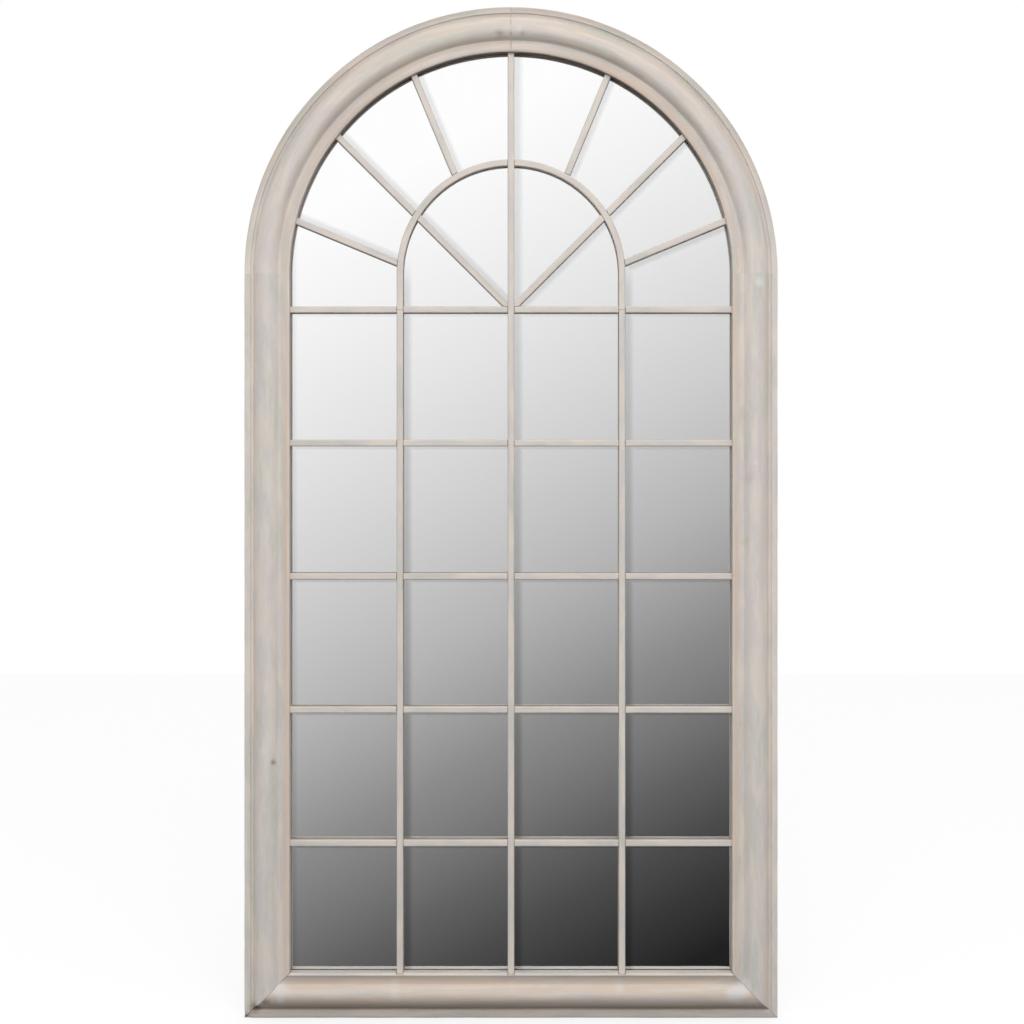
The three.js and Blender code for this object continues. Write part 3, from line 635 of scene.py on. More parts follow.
def turn_and_move(piece, degrees, offset):
    """Leans a piece to the right in the plane of the back, then moves it."""
    only(piece)
    if degrees:
        bpy.ops.transform.rotate(value=-math.radians(degrees), orient_axis="Y",
                                 center_override=(0, 0, 0))
    bpy.ops.transform.translate(value=offset)
    return settle(piece)


def cut_away(piece, cutters, solver="EXACT"):
    """Takes the cutters out of the piece, all at once, and removes them."""
    only(cutters[0])
    for cutter in cutters[1:]:
        cutter.select_set(True)
    if len(cutters) > 1:
        bpy.ops.object.join()
    tool = bpy.context.object
    only(piece)
    cut = piece.modifiers.new("cut", "BOOLEAN")
    cut.operation = "DIFFERENCE"
    cut.solver = solver
    cut.object = tool
    bpy.ops.object.modifier_apply(modifier=cut.name)
    bpy.data.objects.remove(tool)
    return piece


def copy_of(piece, name):
    """A copy with its own mesh."""
    only(piece)
    bpy.ops.object.duplicate(linked=False)
    bpy.context.object.name = name
    return bpy.context.object


def hand_over(piece, node, material, body="root", smooth=35):
    """Finishes a piece: its shading, its material, and what it stands for in the frame."""
    only(piece)
    bpy.ops.object.shade_smooth_by_angle(angle=math.radians(smooth))
    flat_faces = piece.modifiers.new("flat_faces", "WEIGHTED_NORMAL")
    flat_faces.keep_sharp = True
    bpy.ops.object.modifier_apply(modifier=flat_faces.name)
    piece.data.materials.clear()
    piece.data.materials.append(material)
    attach(piece, body)
    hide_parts(node)
    mesh = bmesh.new()
    mesh.from_mesh(piece.data)
    open_edges = sum(len(edge.link_faces) != 2 for edge in mesh.edges)
    mesh.free()
    here = [Vector(corner) for corner in piece.bound_box]
    low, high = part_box(node)
    drift = max(max(abs(min(c[i] for c in here) - low[i]), abs(max(c[i] for c in here) - high[i]))
                for i in range(3))
    print(f"{piece.name}: {len(piece.data.polygons)} faces, {open_edges} open edges, "
          f"{drift / MM:.2f} mm off its solid")


print("helpers ready")

# %% [markdown]
# ## Sizes
# These are the sizes of the real parts, the same as in the solids. Depths are counted
# forwards from the back, and widths across the moulding from its outer edge.

# %% Sizes of the frame
WIDTH = 800 * MM
HEIGHT = 1516 * MM
ARCH_RADIUS = WIDTH / 2
BOTTOM = ARCH_RADIUS - HEIGHT
FIT = 0.3 * MM
LIP_EDGE_AT = 68.7 * MM
VALLEY_AT = 49 * MM
LIP_DEPTH = 26 * MM
SIGHT_RADIUS = ARCH_RADIUS - MOULDING_WIDTH
SIGHT_BOTTOM = BOTTOM + MOULDING_WIDTH
GLASS_EDGE_AT = 59 * MM
BOARD_EDGE_AT = 45 * MM
BOARD_FRONT = 4 * MM
GLASS_BACK = 4.3 * MM
GLASS_FRONT = 8.3 * MM
LIP_BACK = 8.6 * MM
BAR_DEPTH = 12 * MM
BAR_FRONT = LIP_BACK + BAR_DEPTH
LAP_PLANE = LIP_BACK + BAR_DEPTH / 2
FAR_FRONT = 50 * MM
print("frame", WIDTH, "by", HEIGHT, "sight radius", SIGHT_RADIUS)

# %% [markdown]
# ## The moulding
# A moulding is one section run along a path. The section is drawn once from Bezier curves,
# which give the same smooth roll that a moulding cutter leaves. A round face is added, its
# corners are put on the section, and it is then extruded along a stile or spun round the arch.

# %% Section of the moulding
def curve(*controls, steps):
    """Points along a Bezier curve, without the last one."""
    order = len(controls) - 1
    points = []
    for step in range(steps):
        t = step / steps
        weights = [math.comb(order, i) * t ** i * (1 - t) ** (order - i)
                   for i in range(order + 1)]
        points.append(tuple(sum(w * c[k] for w, c in zip(weights, controls)) * MM
                            for k in (0, 1)))
    return points


MOULDING_SECTION = (
    curve((0, 0), (0, 17.5), steps=4)
    + curve((0, 17.5), (0, 20), (2.5, 20), steps=5)
    + curve((2.5, 20), (9, 20), steps=4)
    + curve((9, 20), (9, 17), (13.5, 17), steps=6)
    + curve((13.5, 17), (19.1, 26), (27, 35), (36, 35), steps=16)
    + curve((36, 35), (43.8, 35), (47.8, 27.6), (51.6, 23.8), steps=14)
    + curve((51.6, 23.8), (57.8, 23), (61.6, 27.4), (65.4, 28), steps=12)
    + curve((65.4, 28), (68.4, 28), (69, 26), steps=6)
    + curve((69, 26), (69, 8.6), steps=6)
    + [(69 * MM, 8.6 * MM), (59 * MM, 8.6 * MM), (59 * MM, 4.3 * MM), (45 * MM, 4.3 * MM),
       (45 * MM, 0)])


def start_moulding(name, point_at):
    """A face with its corners on the section; point_at gives (across, depth) its place."""
    bpy.ops.object.select_all(action="DESELECT")
    bpy.ops.mesh.primitive_circle_add(vertices=len(MOULDING_SECTION), radius=MOULDING_WIDTH,
                                      fill_type="NGON")
    piece = bpy.context.object
    piece.name = name
    for vertex, (across, depth) in zip(piece.data.vertices, MOULDING_SECTION):
        vertex.co = point_at(across, depth)
    edit(piece)
    bpy.ops.mesh.select_all(action="SELECT")
    return piece


print("corners in the section:", len(MOULDING_SECTION))

# %% Trimming the ends of a member
END_ARRIS = 0.25 * MM
OPEN_JOINT = 0.1 * MM
MITRE_JOINT = 0.06 * MM
# Bisect counts a point within 0.1 mm as on its plane, so this trim only fills the end again.
FILLED_JOINT = 0.02 * MM


def trim(place, towards, arris=END_ARRIS):
    """Saws the open piece through a plane, keeps the side that it points away from,
    and takes the arris off the new end."""
    bpy.ops.mesh.select_all(action="SELECT")
    bpy.ops.mesh.bisect(plane_co=place, plane_no=towards, clear_outer=True, use_fill=True)
    if arris:
        bpy.ops.mesh.bevel(offset=arris, segments=1, affect="EDGES", clamp_overlap=True)


def arch_member(name, side):
    """A quadrant of the arch: the section spun from the springing line to the apex."""
    piece = start_moulding(name, lambda u, h: (side * (ARCH_RADIUS - u), -h, 0))
    spin_on(-side * 90, (0, 0, 0), (0, 1, 0), 132)
    trim((0, 0, FILLED_JOINT), (0, 0, -1), arris=0)
    trim((side * OPEN_JOINT, 0, 0), (-side, 0, 0))
    close_edit()
    return piece


def stile_member(name, side):
    """A stile: the section run down from the springing line and mitred at the foot."""
    piece = start_moulding(name, lambda u, h: (side * (ARCH_RADIUS - u), -h, 0))
    run_on((0, 0, BOTTOM), 200)
    trim((0, 0, -FILLED_JOINT), (0, 0, 1), arris=0)
    shift = MITRE_JOINT * math.sqrt(2)
    trim((side * ARCH_RADIUS, 0, BOTTOM + shift), (-side, 0, -1), arris=0)
    close_edit()
    return piece


def rail_member(name):
    """The bottom rail: the section run across and mitred at both ends."""
    piece = start_moulding(name, lambda u, h: (-ARCH_RADIUS, -h, BOTTOM + u))
    run_on((WIDTH, 0, 0), 150)
    shift = MITRE_JOINT * math.sqrt(2)
    for side in (-1, 1):
        trim((side * ARCH_RADIUS, 0, BOTTOM - shift), (side, 0, 1), arris=0)
    close_edit()
    return piece


members = {
    "frame_arch_left": arch_member("moulded_arch_left", -1),
    "frame_arch_right": arch_member("moulded_arch_right", 1),
    "frame_stile_left": stile_member("moulded_stile_left", -1),
    "frame_stile_right": stile_member("moulded_stile_right", 1),
    "frame_rail_bottom": rail_member("moulded_rail_bottom"),
}
print("members:", {node: len(piece.data.polygons) for node, piece in members.items()})

# %% [markdown]
# ## Joinery in the frame
# The bars sit in shallow housings in the lip, dowels cross each joint, and screws go in from
# behind. Joining the cutters into one tool per member keeps the work quick. The manifold solver
# is used, because these members have many faces, and it only cuts a closed mesh. The bottom
# rail is one, and gets its cuts. The stiles and arches aren't, since their springing ends are
# filled twice: the solver refuses them, warns in the log and leaves them uncut.

# %% Where the bars, dowels and screws meet the frame
BAR_REACH = SIGHT_RADIUS + 3 * MM
SIDE_BAR = 166.5 * MM
ROWS = [(-54 - 200 * row) * MM for row in range(5)]
HUB = ROWS[0]
HALF_SLOT = BAR_WIDTH / 2 + FIT
FAN_DEGREES = {"left_low": -67.5, "left_diagonal": -45, "left_high": -22.5,
               "right_high": 22.5, "right_diagonal": 45, "right_low": 67.5}


def ray_reach(degrees, radius):
    """How far from the hub, along a fan ray, a circle about the arch centre lies."""
    angle = math.radians(degrees)
    return (-HUB * math.cos(angle)
            + math.sqrt(radius ** 2 - (HUB * math.sin(angle)) ** 2))


def ray_block(degrees, start, end, back, front):
    """A box laid along a fan ray."""
    block = add_block("cutter", (-HALF_SLOT, -front, start), (HALF_SLOT, -back, end))
    return turn_and_move(block, degrees, (0, 0, HUB))


BOARD_SCREW_RADIUS = 348 * MM
board_screws = [(-BOARD_SCREW_RADIUS * math.cos(math.radians(a)),
                 BOARD_SCREW_RADIUS * math.sin(math.radians(a))) for a in (30, 70, 110, 150)]
for z in (-70, -301, -532, -763, -994):
    board_screws += [(-BOARD_SCREW_RADIUS, z * MM), (BOARD_SCREW_RADIUS, z * MM)]
board_screws.append((0, -1064 * MM))
HANGER_SIDE = 377.5 * MM
strap_screws = [(side * HANGER_SIDE, z * MM) for side in (-1, 1) for z in (-57, -43)]
SCREW_HOLE = 1.9 * MM
DOWEL_HOLE = 4.3 * MM
DOWEL_DEPTH = 12 * MM


def screw_holes(places):
    return [add_rod("cutter", SCREW_HOLE, (x, 3 * MM, z), (x, -14 * MM, z)) for x, z in places]


def dowel_holes(places, along, length):
    reach = Vector((along[0], 0, along[1])) * (length / 2 + FIT)
    return [add_rod("cutter", DOWEL_HOLE, Vector((x, -DOWEL_DEPTH, z)) - reach,
                    Vector((x, -DOWEL_DEPTH, z)) + reach) for x, z in places]


def springing_dowels(side):
    return dowel_holes([(side * 380 * MM, 0), (side * 362 * MM, 0)], (0, 1), 36 * MM)


def mitre_dowels(side):
    places = [(side * (ARCH_RADIUS - inset * MM), BOTTOM + inset * MM) for inset in (26, 41)]
    return dowel_holes(places, (side * math.sqrt(0.5), math.sqrt(0.5)), 30 * MM)


print("screws:", len(board_screws), "+", len(strap_screws))

# %% Cut the frame members
FAN_SLOT_START = 0.25
ROW_SLOT_START = 0.3
CLEAR_OF_THE_RAIL = 0.08


def arch_cutters(side):
    cutters = dowel_holes([(0, 380 * MM), (0, 362 * MM)], (1, 0), 36 * MM)
    cutters += springing_dowels(side)
    cutters += screw_holes([p for p in board_screws if p[1] > 0 and p[0] * side > 0])
    for degrees in (0, *FAN_DEGREES.values()):
        if degrees * side >= 0:
            cutters.append(ray_block(degrees, FAN_SLOT_START, ray_reach(degrees, BAR_REACH),
                                     LIP_BACK - MM, FAR_FRONT))
    return cutters


def stile_cutters(side):
    cutters = springing_dowels(side) + mitre_dowels(side)
    cutters += screw_holes([p for p in board_screws + strap_screws
                            if BOTTOM + CLEAR_OF_THE_RAIL < p[1] < 0 and p[0] * side > 0])
    for z in ROWS:
        ends = sorted((side * BAR_REACH, side * ROW_SLOT_START))
        cutters.append(add_block("cutter", (ends[0], -FAR_FRONT, z - HALF_SLOT),
                                 (ends[1], -LIP_BACK + MM, z + HALF_SLOT)))
    return cutters


def rail_cutters():
    cutters = mitre_dowels(-1) + mitre_dowels(1) + screw_holes([board_screws[-1]])
    for x in (-SIDE_BAR, 0, SIDE_BAR):
        cutters.append(add_block("cutter", (x - HALF_SLOT, -FAR_FRONT, SIGHT_BOTTOM - 3 * MM),
                                 (x + HALF_SLOT, -LIP_BACK + MM, SIGHT_BOTTOM + 30 * MM)))
    return cutters


for side, hand in ((-1, "left"), (1, "right")):
    cut_away(members[f"frame_arch_{hand}"], arch_cutters(side), "MANIFOLD")
    cut_away(members[f"frame_stile_{hand}"], stile_cutters(side), "MANIFOLD")
cut_away(members["frame_rail_bottom"], rail_cutters(), "MANIFOLD")
print("cut:", {node: len(piece.data.polygons) for node, piece in members.items()})

# %% [markdown]
# ## Grain and marks
# Each wooden piece now gets its grain attribute, worked out from where its points are, and a
# second one named marks: how bare the wood is, how much soil and painted shade it carries, and
# how filled it is. Some marks sit at spots that the photograph shows, such as filled knots,
# patches under the feet of the bars and knocks at the corners. On the inner edge of the arch,
# which faces down, and in the valley of its roll, the soil mark is painted shade; the arch is
# also a little darker on its rim and on what faces up, more towards the top.

# %% Attributes for the paint
SPOTS = [
    # x, z, reach, bare, soil, filled, all in millimetres and shares
    (-364, 10, 30, 0.0, 0.0, 0.45), (-352, -32, 16, 0.0, 0.0, 0.35),
    (372, -14, 12, 0.0, 0.0, 0.75), (364, -282, 10, 0.0, 0.0, 0.8),
    (356, -306, 9, 0.25, 0.15, 0.0), (348, -401, 8, 0.3, 0.15, 0.0),
    (-369, -713, 9, 0.0, 0.0, 0.8), (-355, -731, 4, 0.3, 0.8, 0.0),
    (-174, -1060, 13, 0.0, 0.0, 0.45), (-173, -1081, 17, 0.0, 0.0, 0.5),
    (3, -1060, 12, 0.0, 0.0, 0.4), (6, -1080, 16, 0.0, 0.0, 0.45),
    (163, -1061, 13, 0.0, 0.0, 0.45), (160, -1082, 17, 0.0, 0.0, 0.5),
    (336, -1078, 22, 0.0, 0.0, 0.8), (-350, -1068, 18, 0.0, 0.0, 0.5),
    (-330, -1080, 24, 0.0, 0.0, 0.35), (352, -1062, 16, 0.0, 0.0, 0.5),
    (-384, -1101, 8, 0.3, 0.8, 0.0), (-366, -1089, 5, 0.3, 0.7, 0.0),
    (-345, -1086, 7, 0.0, 0.0, 0.8), (-397, -1112, 6, 0.3, 0.5, 0.0),
    (-17, 357, 6, 0.3, 0.4, 0.0), (13, 364, 11, 0.0, 0.0, 0.75), (58, 361, 7, 0.0, 0.0, 0.5),
    (17, 358, 4, 0.2, 0.4, 0.0), (115, 384, 34, 0.35, 0.0, 0.0), (-90, 390, 26, 0.25, 0.0, 0.0),
]


def arch_soil_and_shade(z, across, depth):
    """Painted shade on the inner wall, which faces down, and in the valley; darker facing up."""
    height = min(1.0, max(0.0, z / (200 * MM)))
    # The inner wall under the arch faces down: this soil mark is painted shade.
    if across > LIP_EDGE_AT and depth < LIP_DEPTH - MM:
        return 0.94 * min(1.0, max(0.0, z / (200 * MM) - 0.4))
    darker_facing_up = 0.1 * min(1.0, max(0.0, (38 * MM - across) / (12 * MM)))
    if across > VALLEY_AT + 3 * MM:
        darker_facing_up = 0.1
    # Painted shade in the valley, whose slope faces down on the arch.
    shade_in_the_valley = 0.22 * math.exp(-((across - VALLEY_AT) / (2.5 * MM)) ** 2)
    on_the_rim = 0.16 * math.exp(-((across - MM) / (5 * MM)) ** 2)
    return (0.07 + darker_facing_up + shade_in_the_valley + on_the_rim) * height


def write_attribute(piece, name, values):
    layer = piece.data.attributes.new(name, "FLOAT_VECTOR", "POINT")
    layer.data.foreach_set("vector", [part for value in values for part in value])


def mark(piece, grain_at, soil_and_shade_at=None):
    """Writes grain and marks for every point; grain_at gives (along, across) at (x, z)."""
    grain, marks = [], []
    for vertex in piece.data.vertices:
        x, y, z = vertex.co
        along, across = grain_at(x, z)
        grain.append((along, across, -y))
        spot = [0.0, soil_and_shade_at(z, across, -y) if soil_and_shade_at else 0.0, 0.0]
        for sx, sz, reach, *amounts in SPOTS:
            away = ((x / MM - sx) ** 2 + (z / MM - sz) ** 2) / reach ** 2
            if away < 4:
                spot = [a + math.exp(-1.4 * away) * b for a, b in zip(spot, amounts)]
        marks.append(spot)
    write_attribute(piece, "grain", grain)
    write_attribute(piece, "marks", marks)


def round_the_arch(x, z):
    return math.atan2(z, x) * 0.365, ARCH_RADIUS - math.hypot(x, z)


grain_of = {
    "frame_arch_left": lambda x, z: (round_the_arch(x, z)[0] + 5, round_the_arch(x, z)[1]),
    "frame_arch_right": round_the_arch,
    "frame_stile_left": lambda x, z: (z + 9, ARCH_RADIUS + x),
    "frame_stile_right": lambda x, z: (z + 14, ARCH_RADIUS - x),
    "frame_rail_bottom": lambda x, z: (x + 21, z - BOTTOM),
}
print("spots:", len(SPOTS))

# %% [markdown]
# ## Made by hand
# Planed, sanded and painted wood is never quite even. Every point on the front of the frame
# is let in by up to a third of a millimetre, by smooth noise, which breaks the highlights
# along the roll. The knocks are deeper. It only ever moves wood inwards, so nothing touches.

# %% Sanding unevenness, and finishing the frame
SANDED = 0.35 * MM
KNOCKS = [(-384, -1101, 6, 1.2), (-366, -1089, 4, 0.9), (-398, -1113, 6, 1.1),
          (398, -1114, 4, 0.8), (-355, -731, 4, 0.6), (-330, -1049, 5, 0.7),
          (331, -1049, 5, 0.6), (-17, 357, 4, 0.5), (348, -401, 5, 0.3)]


def sand(piece, amount, shallowest):
    """Lets the front of a piece in by smooth noise, and by a few knocks."""
    normals = [vertex.normal.copy() for vertex in piece.data.vertices]
    for vertex, normal in zip(piece.data.vertices, normals):
        if -vertex.co.y < shallowest:
            continue
        broad = noise.noise(vertex.co * 28)
        fine = noise.noise(vertex.co * 130 + Vector((7, 3, 1)))
        let_in = amount * min(1.0, max(0.0, 0.5 + 0.6 * broad + 0.3 * fine))
        for x, z, reach, depth in KNOCKS:
            away = ((vertex.co.x / MM - x) ** 2 + (vertex.co.z / MM - z) ** 2) / reach ** 2
            let_in += depth * MM * math.exp(-away) * (0.6 + 0.8 * fine)
        vertex.co -= normal * let_in
    piece.data.update()


for node, piece in members.items():
    mark(piece, grain_of[node], arch_soil_and_shade if "arch" in node else None)
    sand(piece, SANDED, 10 * MM)
    hand_over(piece, node, rail_paint if "rail" in node else frame_paint)

# %% [markdown]
# ## Glazing bars
# A real bar is a strip with its front arrises rounded over. Where two bars cross, each loses
# half its thickness, which is a half lap. The same section face starts every bar: a plane,
# with its two front corners bevelled, extruded in short steps so that it can be a little wavy.

# %% Bar stock
BAR_ROUND = 2 * MM


def start_bar(name, x=0.0, z=0.0):
    """The section of a bar, lying flat, open for editing and selected."""
    bpy.ops.object.select_all(action="DESELECT")
    piece = add_plane(name, (x, -(LIP_BACK + BAR_FRONT) / 2, z), (BAR_WIDTH, BAR_DEPTH))
    edit(piece, "VERT")
    pick(piece, "verts", lambda vertex: vertex.co.y < -BAR_FRONT + MM)
    bpy.ops.mesh.bevel(offset=BAR_ROUND, segments=4, affect="VERTICES")
    bpy.ops.mesh.select_mode(type="FACE")
    bpy.ops.mesh.select_all(action="SELECT")
    return piece


def straight_bar(name, length, start=0.0):
    piece = start_bar(name)
    run_on((0, 0, length), max(8, round(length / (6 * MM))))
    close_edit()
    return turn_and_move(piece, 0, (0, 0, start))


REAR_HALF = (0, LAP_PLANE + FIT / 2)
FRONT_HALF = (LAP_PLANE - FIT / 2, FAR_FRONT)


def upright_slot(x, back, front):
    return add_block("cutter", (x - HALF_SLOT, -front, BOTTOM), (x + HALF_SLOT, -back, 0.4))


def cross_slot(z, back, front):
    return add_block("cutter", (-0.4, -front, z - HALF_SLOT), (0.4, -back, z + HALF_SLOT))


def arch_slot(back, front):
    """The space of the arch bar: a rectangle spun half way round the arch centre."""
    inner, outer = SIDE_BAR - HALF_SLOT, SIDE_BAR + HALF_SLOT
    cutter = add_plane("cutter", (-(inner + outer) / 2, -(back + front) / 2, 0),
                       (outer - inner, front - back))
    edit(cutter)
    bpy.ops.mesh.select_all(action="SELECT")
    spin_on(180, (0, 0, 0), (0, 1, 0), 96)
    close_edit()
    return cutter


print("half lap plane at", LAP_PLANE)

# %% Uprights
FOOT = SIGHT_BOTTOM - 3 * MM + FIT
bars = {}
bars["upright_bar_centre"] = cut_away(
    straight_bar("bar_upright_centre", BAR_REACH - FIT - FOOT, FOOT),
    [cross_slot(z, *REAR_HALF) for z in ROWS] + [arch_slot(*REAR_HALF)])
side_upright = cut_away(
    straight_bar("bar_upright_left", HUB - FIT / 2 - FOOT, FOOT),
    [cross_slot(z, *REAR_HALF) for z in ROWS])
for hand, x in (("right", SIDE_BAR), ("left", -SIDE_BAR)):
    piece = side_upright if hand == "left" else copy_of(side_upright, "bar_upright_right")
    bars[f"upright_bar_{hand}"] = turn_and_move(piece, 0, (x, 0, 0))
print("uprights:", list(bars))

# %% Cross bars: one is cut, and four are copies
first_cross = straight_bar("bar_cross_1", 2 * (BAR_REACH - FIT))
turn_and_move(first_cross, 90, (-(BAR_REACH - FIT), 0, ROWS[0]))
cut_away(first_cross, [upright_slot(x, *FRONT_HALF) for x in (-SIDE_BAR, 0, SIDE_BAR)])
bars["cross_bar_1"] = first_cross
for row in range(1, 5):
    piece = copy_of(first_cross, f"bar_cross_{row + 1}")
    bars[f"cross_bar_{row + 1}"] = turn_and_move(piece, 0, (0, 0, ROWS[row] - ROWS[0]))
print("cross bars:", [name for name in bars if "cross" in name])

# %% [markdown]
# The inner arch bar is bent on the real mirror, so its section is extruded up one leg, spun
# over the top and extruded down the other leg. It laps the centre upright, the diagonals and
# the top cross bar.

# %% Arch bar
LEG = HUB + FIT / 2
arch_bar = start_bar("bar_arch", -SIDE_BAR, LEG)
run_on((0, 0, -LEG), 9)
spin_on(180, (0, 0, 0), (0, 1, 0), 96)
run_on((0, 0, LEG), 9)
close_edit()
cut_away(arch_bar, [cross_slot(HUB, *REAR_HALF), upright_slot(0, *FRONT_HALF)])
cut_away(arch_bar, [ray_block(degrees, 0.12, 0.28, *REAR_HALF) for degrees in (45, -45)])
bars["arch_bar"] = arch_bar
print("arch bar:", len(arch_bar.data.polygons), "faces")

# %% Fan bars
for name, degrees in FAN_DEGREES.items():
    end = ray_reach(degrees, BAR_REACH - FIT)
    piece = straight_bar(f"bar_fan_{name}", end)
    turn_and_move(piece, degrees, (0, 0, HUB))
    if abs(degrees) == 45:
        cut_away(piece, [arch_slot(*FRONT_HALF)])
        cut_away(piece, [upright_slot(0, 0, FAR_FRONT)])
        cut_away(piece, [cross_slot(HUB, 0, FAR_FRONT)])
    else:
        cut_away(piece, [add_rod("cutter", SIDE_BAR + HALF_SLOT, (0, 0, 0),
                                 (0, -FAR_FRONT, 0), 192)])
    bars[f"fan_bar_{name}"] = piece
print("fan bars:", [name for name in bars if "fan" in name])

# %% Grain of the bars, and finishing them
def along_a_line(degrees, start):
    """Grain of a straight bar that leans to the right from a start point."""
    angle = math.radians(degrees)
    run, side = (math.sin(angle), math.cos(angle)), (math.cos(angle), -math.sin(angle))

    def grain_at(x, z):
        dx, dz = x - start[0], z - start[1]
        return (dx * run[0] + dz * run[1] + 3 * start[0] + 7 * start[1] + degrees,
                dx * side[0] + dz * side[1])
    return grain_at


def along_the_arch_bar(x, z):
    if z > 0:
        return math.atan2(z, x) * SIDE_BAR + 30, math.hypot(x, z) - SIDE_BAR
    return z + 30, abs(x) - SIDE_BAR


bar_grain = {"arch_bar": along_the_arch_bar, "upright_bar_centre": along_a_line(0, (0, 0))}
for hand, x in (("left", -SIDE_BAR), ("right", SIDE_BAR)):
    bar_grain[f"upright_bar_{hand}"] = along_a_line(0, (x, 0))
for row, z in enumerate(ROWS):
    bar_grain[f"cross_bar_{row + 1}"] = along_a_line(90, (0, z))
for name, degrees in FAN_DEGREES.items():
    bar_grain[f"fan_bar_{name}"] = along_a_line(degrees, (0, HUB))

for node, piece in bars.items():
    mark(piece, bar_grain[node])
    sand(piece, 0.12 * MM, LIP_BACK + 2 * MM)
    hand_over(piece, node, bar_paint)

# %% [markdown]
# ## Mirror glass and back board
# Both are arched sheets. A disc is sawn in half, its straight edge is extruded down to the
# foot, and the whole face is extruded to its thickness. The mirror is two pieces, as in
# life: four millimetres of clear glass, and a film of silver behind it that does the
# reflecting. That is why the bars seem to float a little in front of their reflections.

# %% [markdown]
# Beside each upright and each ray of the fan, on its right, and below each cross bar, the
# mirror is a little darker: a painted shadow of the bar, put into the silver. Its colour drops
# in a soft band along each bar, more towards the foot of the mirror.

# %% Silver, with a painted shadow along each bar
# Painted shadows in the silver: where each band starts, where it is full and where it has faded,
# in mm.
SHADOW_TO_THE_RIGHT = (4, 9.5, 20.5)
SHADOW_BELOW = (4, 7.5, 11.5)
SHADOW_BESIDE_RAYS = (4, 9, 17)
SHADOW_AT_TOP, SHADOW_AT_FOOT = 0.23, 0.38
silver = bpy.data.materials.new("mirror_silver")
silver.use_nodes = True
tree = silver.node_tree
shader = tree.nodes["Principled BSDF"]
shader.inputs["Metallic"].default_value = 1.0
where = add_node(tree, "ShaderNodeTexCoord").outputs["Object"]
parts = add_node(tree, "ShaderNodeSeparateXYZ")
feed(tree, parts.inputs[0], where)
across, upwards = parts.outputs[0], parts.outputs[2]


def painted_shadow_band(tree, away, start, full, end):
    """A painted shadow band that begins at a bar, stays, and then fades away from it."""
    edge = between(tree, away, (start - 1) * MM, start * MM)
    return sum_of(tree, "MULTIPLY", edge, between(tree, away, full * MM, end * MM, 1.0, 0.0))


beside_sides = None
for x in (-SIDE_BAR, SIDE_BAR):
    band = painted_shadow_band(tree, sum_of(tree, "SUBTRACT", across, x), *SHADOW_TO_THE_RIGHT)
    beside_sides = band if beside_sides is None else sum_of(tree, "MAXIMUM", beside_sides, band)
below_spring = between(tree, upwards, -30 * MM, 30 * MM, 1.0, 0.0)
beside_sides = sum_of(tree, "MULTIPLY", beside_sides, below_spring)
beside_centre = painted_shadow_band(tree, across, *SHADOW_TO_THE_RIGHT)
beside_centre = sum_of(tree, "MULTIPLY", beside_centre,
                       between(tree, upwards, HUB - 20 * MM, HUB + 30 * MM, 1.0, 0.9))
shadowed = sum_of(tree, "MAXIMUM", beside_sides, beside_centre)
for row, z in enumerate(ROWS):
    band = painted_shadow_band(tree, sum_of(tree, "SUBTRACT", z, upwards), *SHADOW_BELOW)
    band = sum_of(tree, "MULTIPLY", band, 0.45 + 0.1 * row)
    shadowed = sum_of(tree, "MAXIMUM", shadowed, band)
for degrees in FAN_DEGREES.values():
    sine, cosine = math.sin(math.radians(degrees)), math.cos(math.radians(degrees))
    from_hub = sum_of(tree, "SUBTRACT", upwards, HUB)
    away = sum_of(tree, "MULTIPLY_ADD", across, cosine, sum_of(tree, "MULTIPLY", from_hub, -sine))
    along = sum_of(tree, "MULTIPLY_ADD", across, sine, sum_of(tree, "MULTIPLY", from_hub, cosine))
    first = 0 if abs(degrees) == 45 else ray_reach(degrees, SIDE_BAR)
    band = sum_of(tree, "MULTIPLY", painted_shadow_band(tree, away, *SHADOW_BESIDE_RAYS),
                  between(tree, along, first, first + 12 * MM, 0.0, 0.8))
    shadowed = sum_of(tree, "MAXIMUM", shadowed, band)
# The same painted shadow lies beside the left edge of the opening, at half strength.
edge_band = painted_shadow_band(tree, sum_of(tree, "ADD", across, SIGHT_RADIUS), 0, 2, 12)
shadowed = sum_of(tree, "MAXIMUM", shadowed, sum_of(tree, "MULTIPLY", edge_band, 0.5))
depth = between(tree, upwards, ROWS[-1], HUB, SHADOW_AT_FOOT, SHADOW_AT_TOP)
shade = sum_of(tree, "MULTIPLY", shadowed, depth)
specks = between(tree, cloud(tree, where, 60, detail=3), 0.68, 0.8, 0.0, 0.03)
silver_colour_with_shadow = blend(tree, sum_of(tree, "ADD", shade, specks), on_scale(252, 252, 252), (0, 0, 0, 1))
feed(tree, shader.inputs["Base Color"], silver_colour_with_shadow)
feed(tree, shader.inputs["Roughness"],
     between(tree, cloud(tree, where, 9, detail=2), 0.4, 0.7, 0.0, 0.012))

# %% Clear glass
clear_glass = bpy.data.materials.new("float_glass")
clear_glass.use_nodes = True
tree = clear_glass.node_tree
shader = tree.nodes["Principled BSDF"]
shader.inputs["Transmission Weight"].default_value = 1.0
shader.inputs["IOR"].default_value = 1.52
shader.inputs["Roughness"].default_value = 0.0
where = add_node(tree, "ShaderNodeTexCoord").outputs["Object"]
feed(tree, shader.inputs["Base Color"],
     blend(tree, cloud(tree, where, 4, detail=2), (0.994, 1, 0.997, 1), (1, 1, 1, 1)))
print("glass:", clear_glass.name)

